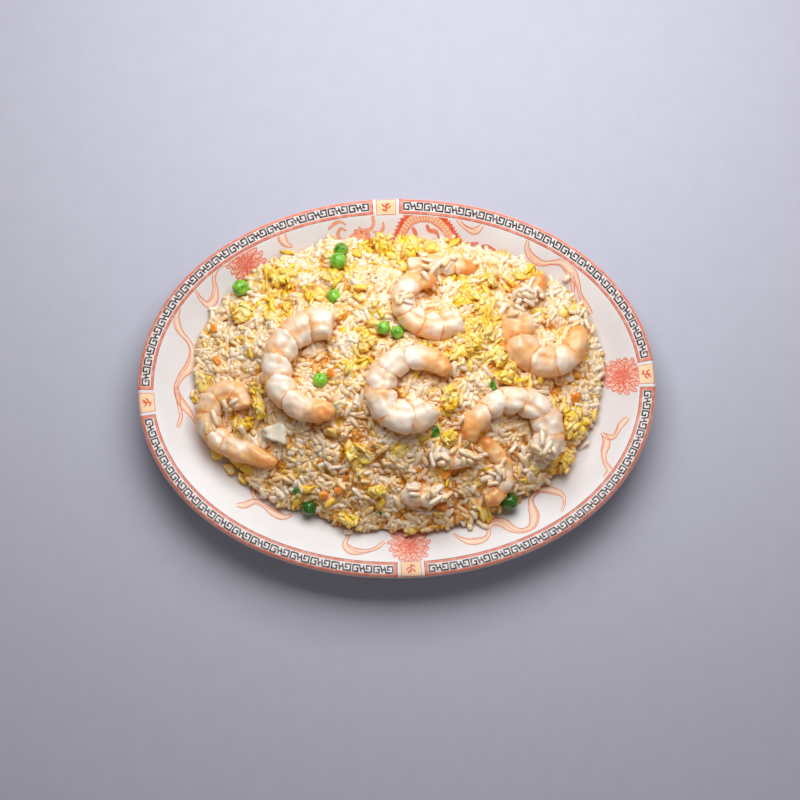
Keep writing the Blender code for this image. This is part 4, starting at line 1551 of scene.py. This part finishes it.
def makeEgg():
    names = sorted(n for n in frame["nodes"] if n.startswith("egg_"))
    points, faces = [], []
    for k, name in enumerate(names):
        bm = bmesh.new()
        bm.from_mesh(frame["nodes"][name].data)
        bmesh.ops.remove_doubles(bm, verts=bm.verts, dist=0.01 * mm)
        bmesh.ops.subdivide_edges(bm, edges=bm.edges, cuts=3, use_grid_fill=True, smooth=0.6)
        bmesh.ops.recalc_face_normals(bm, faces=bm.faces)
        low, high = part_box(name)
        centre, half = (low + high) / 2, (high - low) / 2
        for vert in bm.verts:
            vert.co = centre + (vert.co - centre) * eggs["base"]
        curdled(bm, k * 5.7)
        crowded(points, faces, bm, k, half.x * half.y / (mm * mm))
        addTo(points, faces, bm)
    for k, (place, (length, width), heading) in enumerate(eggs["small"]):
        at, normal = onHeap(*place)
        bm = ball(4, 0.5)
        size = Matrix.Diagonal((length * mm, width * mm, eggs["thick"] * mm, 1))
        bmesh.ops.transform(bm, verts=bm.verts, matrix=Matrix.Translation(at + normal * 2.0 * mm)
                            @ standing(normal, math.radians(heading)) @ size)
        curdled(bm, 40 + k * 3.3)
        addTo(points, faces, bm)
    made = objectOf("egg_curds", meshOf("egg_curds", points, faces))
    outward(made.data)
    # how far each point faces down, for the painted shade in the look
    mark(made.data, "under", [0.5 - 0.5 * vert.normal.z for vert in made.data.vertices])
    look = finish("scrambledEgg", eggLook, specular=0.5, soft=0.35, softScale=0.0014,
                  softRadius=(1.0, 0.7, 0.25), coat=0.2, coatRoughness=0.2)
    made.data.materials.append(look)
    settle(made, "egg", *names)
    return look


eggLookMade = makeEgg()


# Carrot, leek and onion, and the egg crumbs between the grains.
bits = {
    "carrot": (255, 172, 58), "carrotDeep": (250, 140, 30),
    "dice": (    # place in mm, three sides in mm, turn
        ((23.9, -49.4), (8.4, 6.4, 5.0), 20), ((23.3, -67.3), (5.8, 4.0, 3.0), 60),
        ((98.5, -7.4), (4.4, 3.6, 3.0), 10), ((87.4, -4.5), (4.6, 3.4, 3.0), 75),
        ((53.6, -54.9), (6.4, 4.0, 3.4), 35), ((98.6, 4.1), (4.0, 3.2, 3.0), 50),
        ((-99.9, 33.1), (4.6, 3.6, 3.0), 15), ((-34.1, 3.1), (5.0, 4.0, 3.4), 25),
        ((-46, 37), (7.4, 2.8, 2.6), 10), ((-61, 43), (7.0, 2.6, 2.4), 40),
        ((-98.2, 14.4), (5.0, 3.2, 3.0), 80), ((97, -8), (6.0, 4.6, 3.6), 35),
        ((86, -6), (4.6, 3.2, 3.0), 0), ((54, 11), (4.4, 3.0, 2.8), 20),
        ((52, -56), (7.0, 4.6, 3.8), 160), ((-40, -60), (5.0, 3.4, 3.0), 30),
        ((-31, -58), (5.4, 3.6, 3.0), 70), ((-1, 43), (4.2, 3.4, 3.0), 60),
        ((-44, 6), (5.0, 3.2, 2.6), 10)),
    "leek": (38, 118, 26), "leekLight": (120, 176, 60),
    "leaves": (((105, 22), (5.6, 3.0), 70), ((51, -4), (6.4, 2.8), 45), ((20.2, -29.2), (6.0, 4.4), 60),
               ((-54, -58), (5.2, 3.6), -30), ((-49, -68), (6.8, 4.4), 20), ((-12.0, -69.4), (6.4, 2.6), 10)),
    "onion": (255, 250, 236), "onionDeep": (250, 232, 196),
    "flakes": (((-65, -27), (13.0, 12.0, 7.0), 160), ((99, 36), (9.0, 6.4, 3.0), 20)),
}


def makeCrumbs():
    # ragged curds from a few shapes, some drawn out into strands
    dice = random.Random(17)
    curds = []
    for kind in range(crumbs["kinds"]):
        bm = ball(2)
        long = dice.uniform(1.2, 3.0)
        stretch = Vector((long, dice.uniform(0.8, 1.5), dice.uniform(0.6, 0.9)))
        curl = dice.uniform(-0.35, 0.35)
        shift = Vector((kind * 4.4, 0, 0))
        for vert in bm.verts:
            lump = 1 + 0.3 * noise.noise(vert.co * 4.2) + 0.75 * noise.noise(vert.co * 1.9 + shift)
            vert.co = Vector(a * b for a, b in zip(vert.co, stretch)) * lump
            vert.co.y += curl * vert.co.x ** 2 / long
            vert.co *= mm
        curds.append(bpy.data.meshes.new("curd"))
        bm.to_mesh(curds[-1])
        bm.free()
    kinds = shelf("crumbKinds", curds)
    (small, large), (low, high) = crumbs["size"], crumbs["heights"]
    made = grow(strew, sheets["sheet"], "egg_crumbs", eggLookMade, kinds=kinds, toppings=toppingGuide,
                spacing=crumbs["spacing"] * mm, keepOff=crumbs["keepOff"] * mm, low=low * mm, high=high * mm,
                tilt=crumbs["tilt"], small=small, large=large, share=crumbs["share"], mask="eggy",
                seed=crumbs["seed"], choices=crumbs["kinds"], depth=0.0)
    emptyShelf(kinds)
    settle(made, "egg")


def mottled(first, second, scale, detail, low, high, stretch=None, grit=None, roughness=0.2):
    # a wet look of two colours in clouds, which can be drawn out; grit is a finer noise for the gloss
    def build(g):
        cloud = g.noise(scale, detail, g.vector("MULTIPLY", g.place(), stretch) if stretch else None)
        grain = g.noise(grit, 2) if grit else cloud
        return {"Base Color": g.mix(cloud.within(low, high), bits[first], bits[second]),
                "Roughness": grain * 0.2 + roughness}

    return build


def makeBits():
    def cut(name, slot, look, shapes, seed, soft=0.38, point=0.0):
        # small pieces with uneven edges lying on the rice: soft is how round, point how drawn to one end
        points, faces = [], []
        for k, (place, size, heading) in enumerate(shapes):
            at, normal = onHeap(*place)
            bm = bmesh.new()
            bmesh.ops.create_cube(bm, size=1.0)
            bmesh.ops.subdivide_edges(bm, edges=bm.edges, cuts=6, use_grid_fill=True)
            thick = size[2] if len(size) > 2 else 1.1
            for vert in bm.verts:
                rounded = vert.co.normalized() * 0.62
                vert.co.x *= 1 - point * (vert.co.y + 0.5)
                uneven = 1 + 0.22 * noise.noise(vert.co * 2.6 + Vector((seed + k, 0, 0)))
                vert.co = vert.co.lerp(rounded, soft) * uneven
                vert.co *= 1 + 0.5 * point * noise.noise(vert.co * 5 + Vector((seed, k, 0)))
                vert.co = Vector((vert.co.x * size[0], vert.co.y * size[1], vert.co.z * thick)) * mm
                if len(size) == 2:    # thin pieces curl
                    vert.co.z += 0.9 * mm * math.sin(vert.co.x / (size[0] * mm) * 2.2 + k)
            facing = normal.lerp(Vector((0, 0, 1)), point)
            turn = standing(facing, math.radians(heading)) @ Matrix.Rotation(0.35 * math.sin(k * 2.1), 4, "Y")
            bmesh.ops.transform(bm, verts=bm.verts, matrix=Matrix.Translation(at + normal * 1.3 * mm) @ turn)
            addTo(points, faces, bm)
        made = objectOf(name, meshOf(name, points, faces))
        outward(made.data)
        made.data.materials.append(look)
        settle(made, slot)

    wet = dict(soft=0.15, softScale=0.002, coat=0.35, coatRoughness=0.12)
    carrot = mottled("carrot", "carrotDeep", 300, 2, 0.35, 0.65, grit=1600, roughness=0.22)
    leek = mottled("leek", "leekLight", 700, 3, 0.40, 0.66, (1.0, 0.25, 1.0))
    onion = mottled("onion", "onionDeep", 420, 3, 0.35, 0.65)
    cut("carrot_dice", "rice", finish("carrot", carrot, **wet), bits["dice"], 3)
    cut("leek_bits", "pea", finish("leek", leek, **wet), bits["leaves"], 11)
    cut("onion_flakes", "rice", finish("onion", onion, coat=0.35, coatRoughness=0.12), bits["flakes"], 23,
        soft=0.1, point=0.75)


makeRice()
makeCrumbs()
makeBits()


# The helpers go, so that only pieces are left.
drop(*sheets.values(), toppingGuide)
emptyShelf(grainKinds)
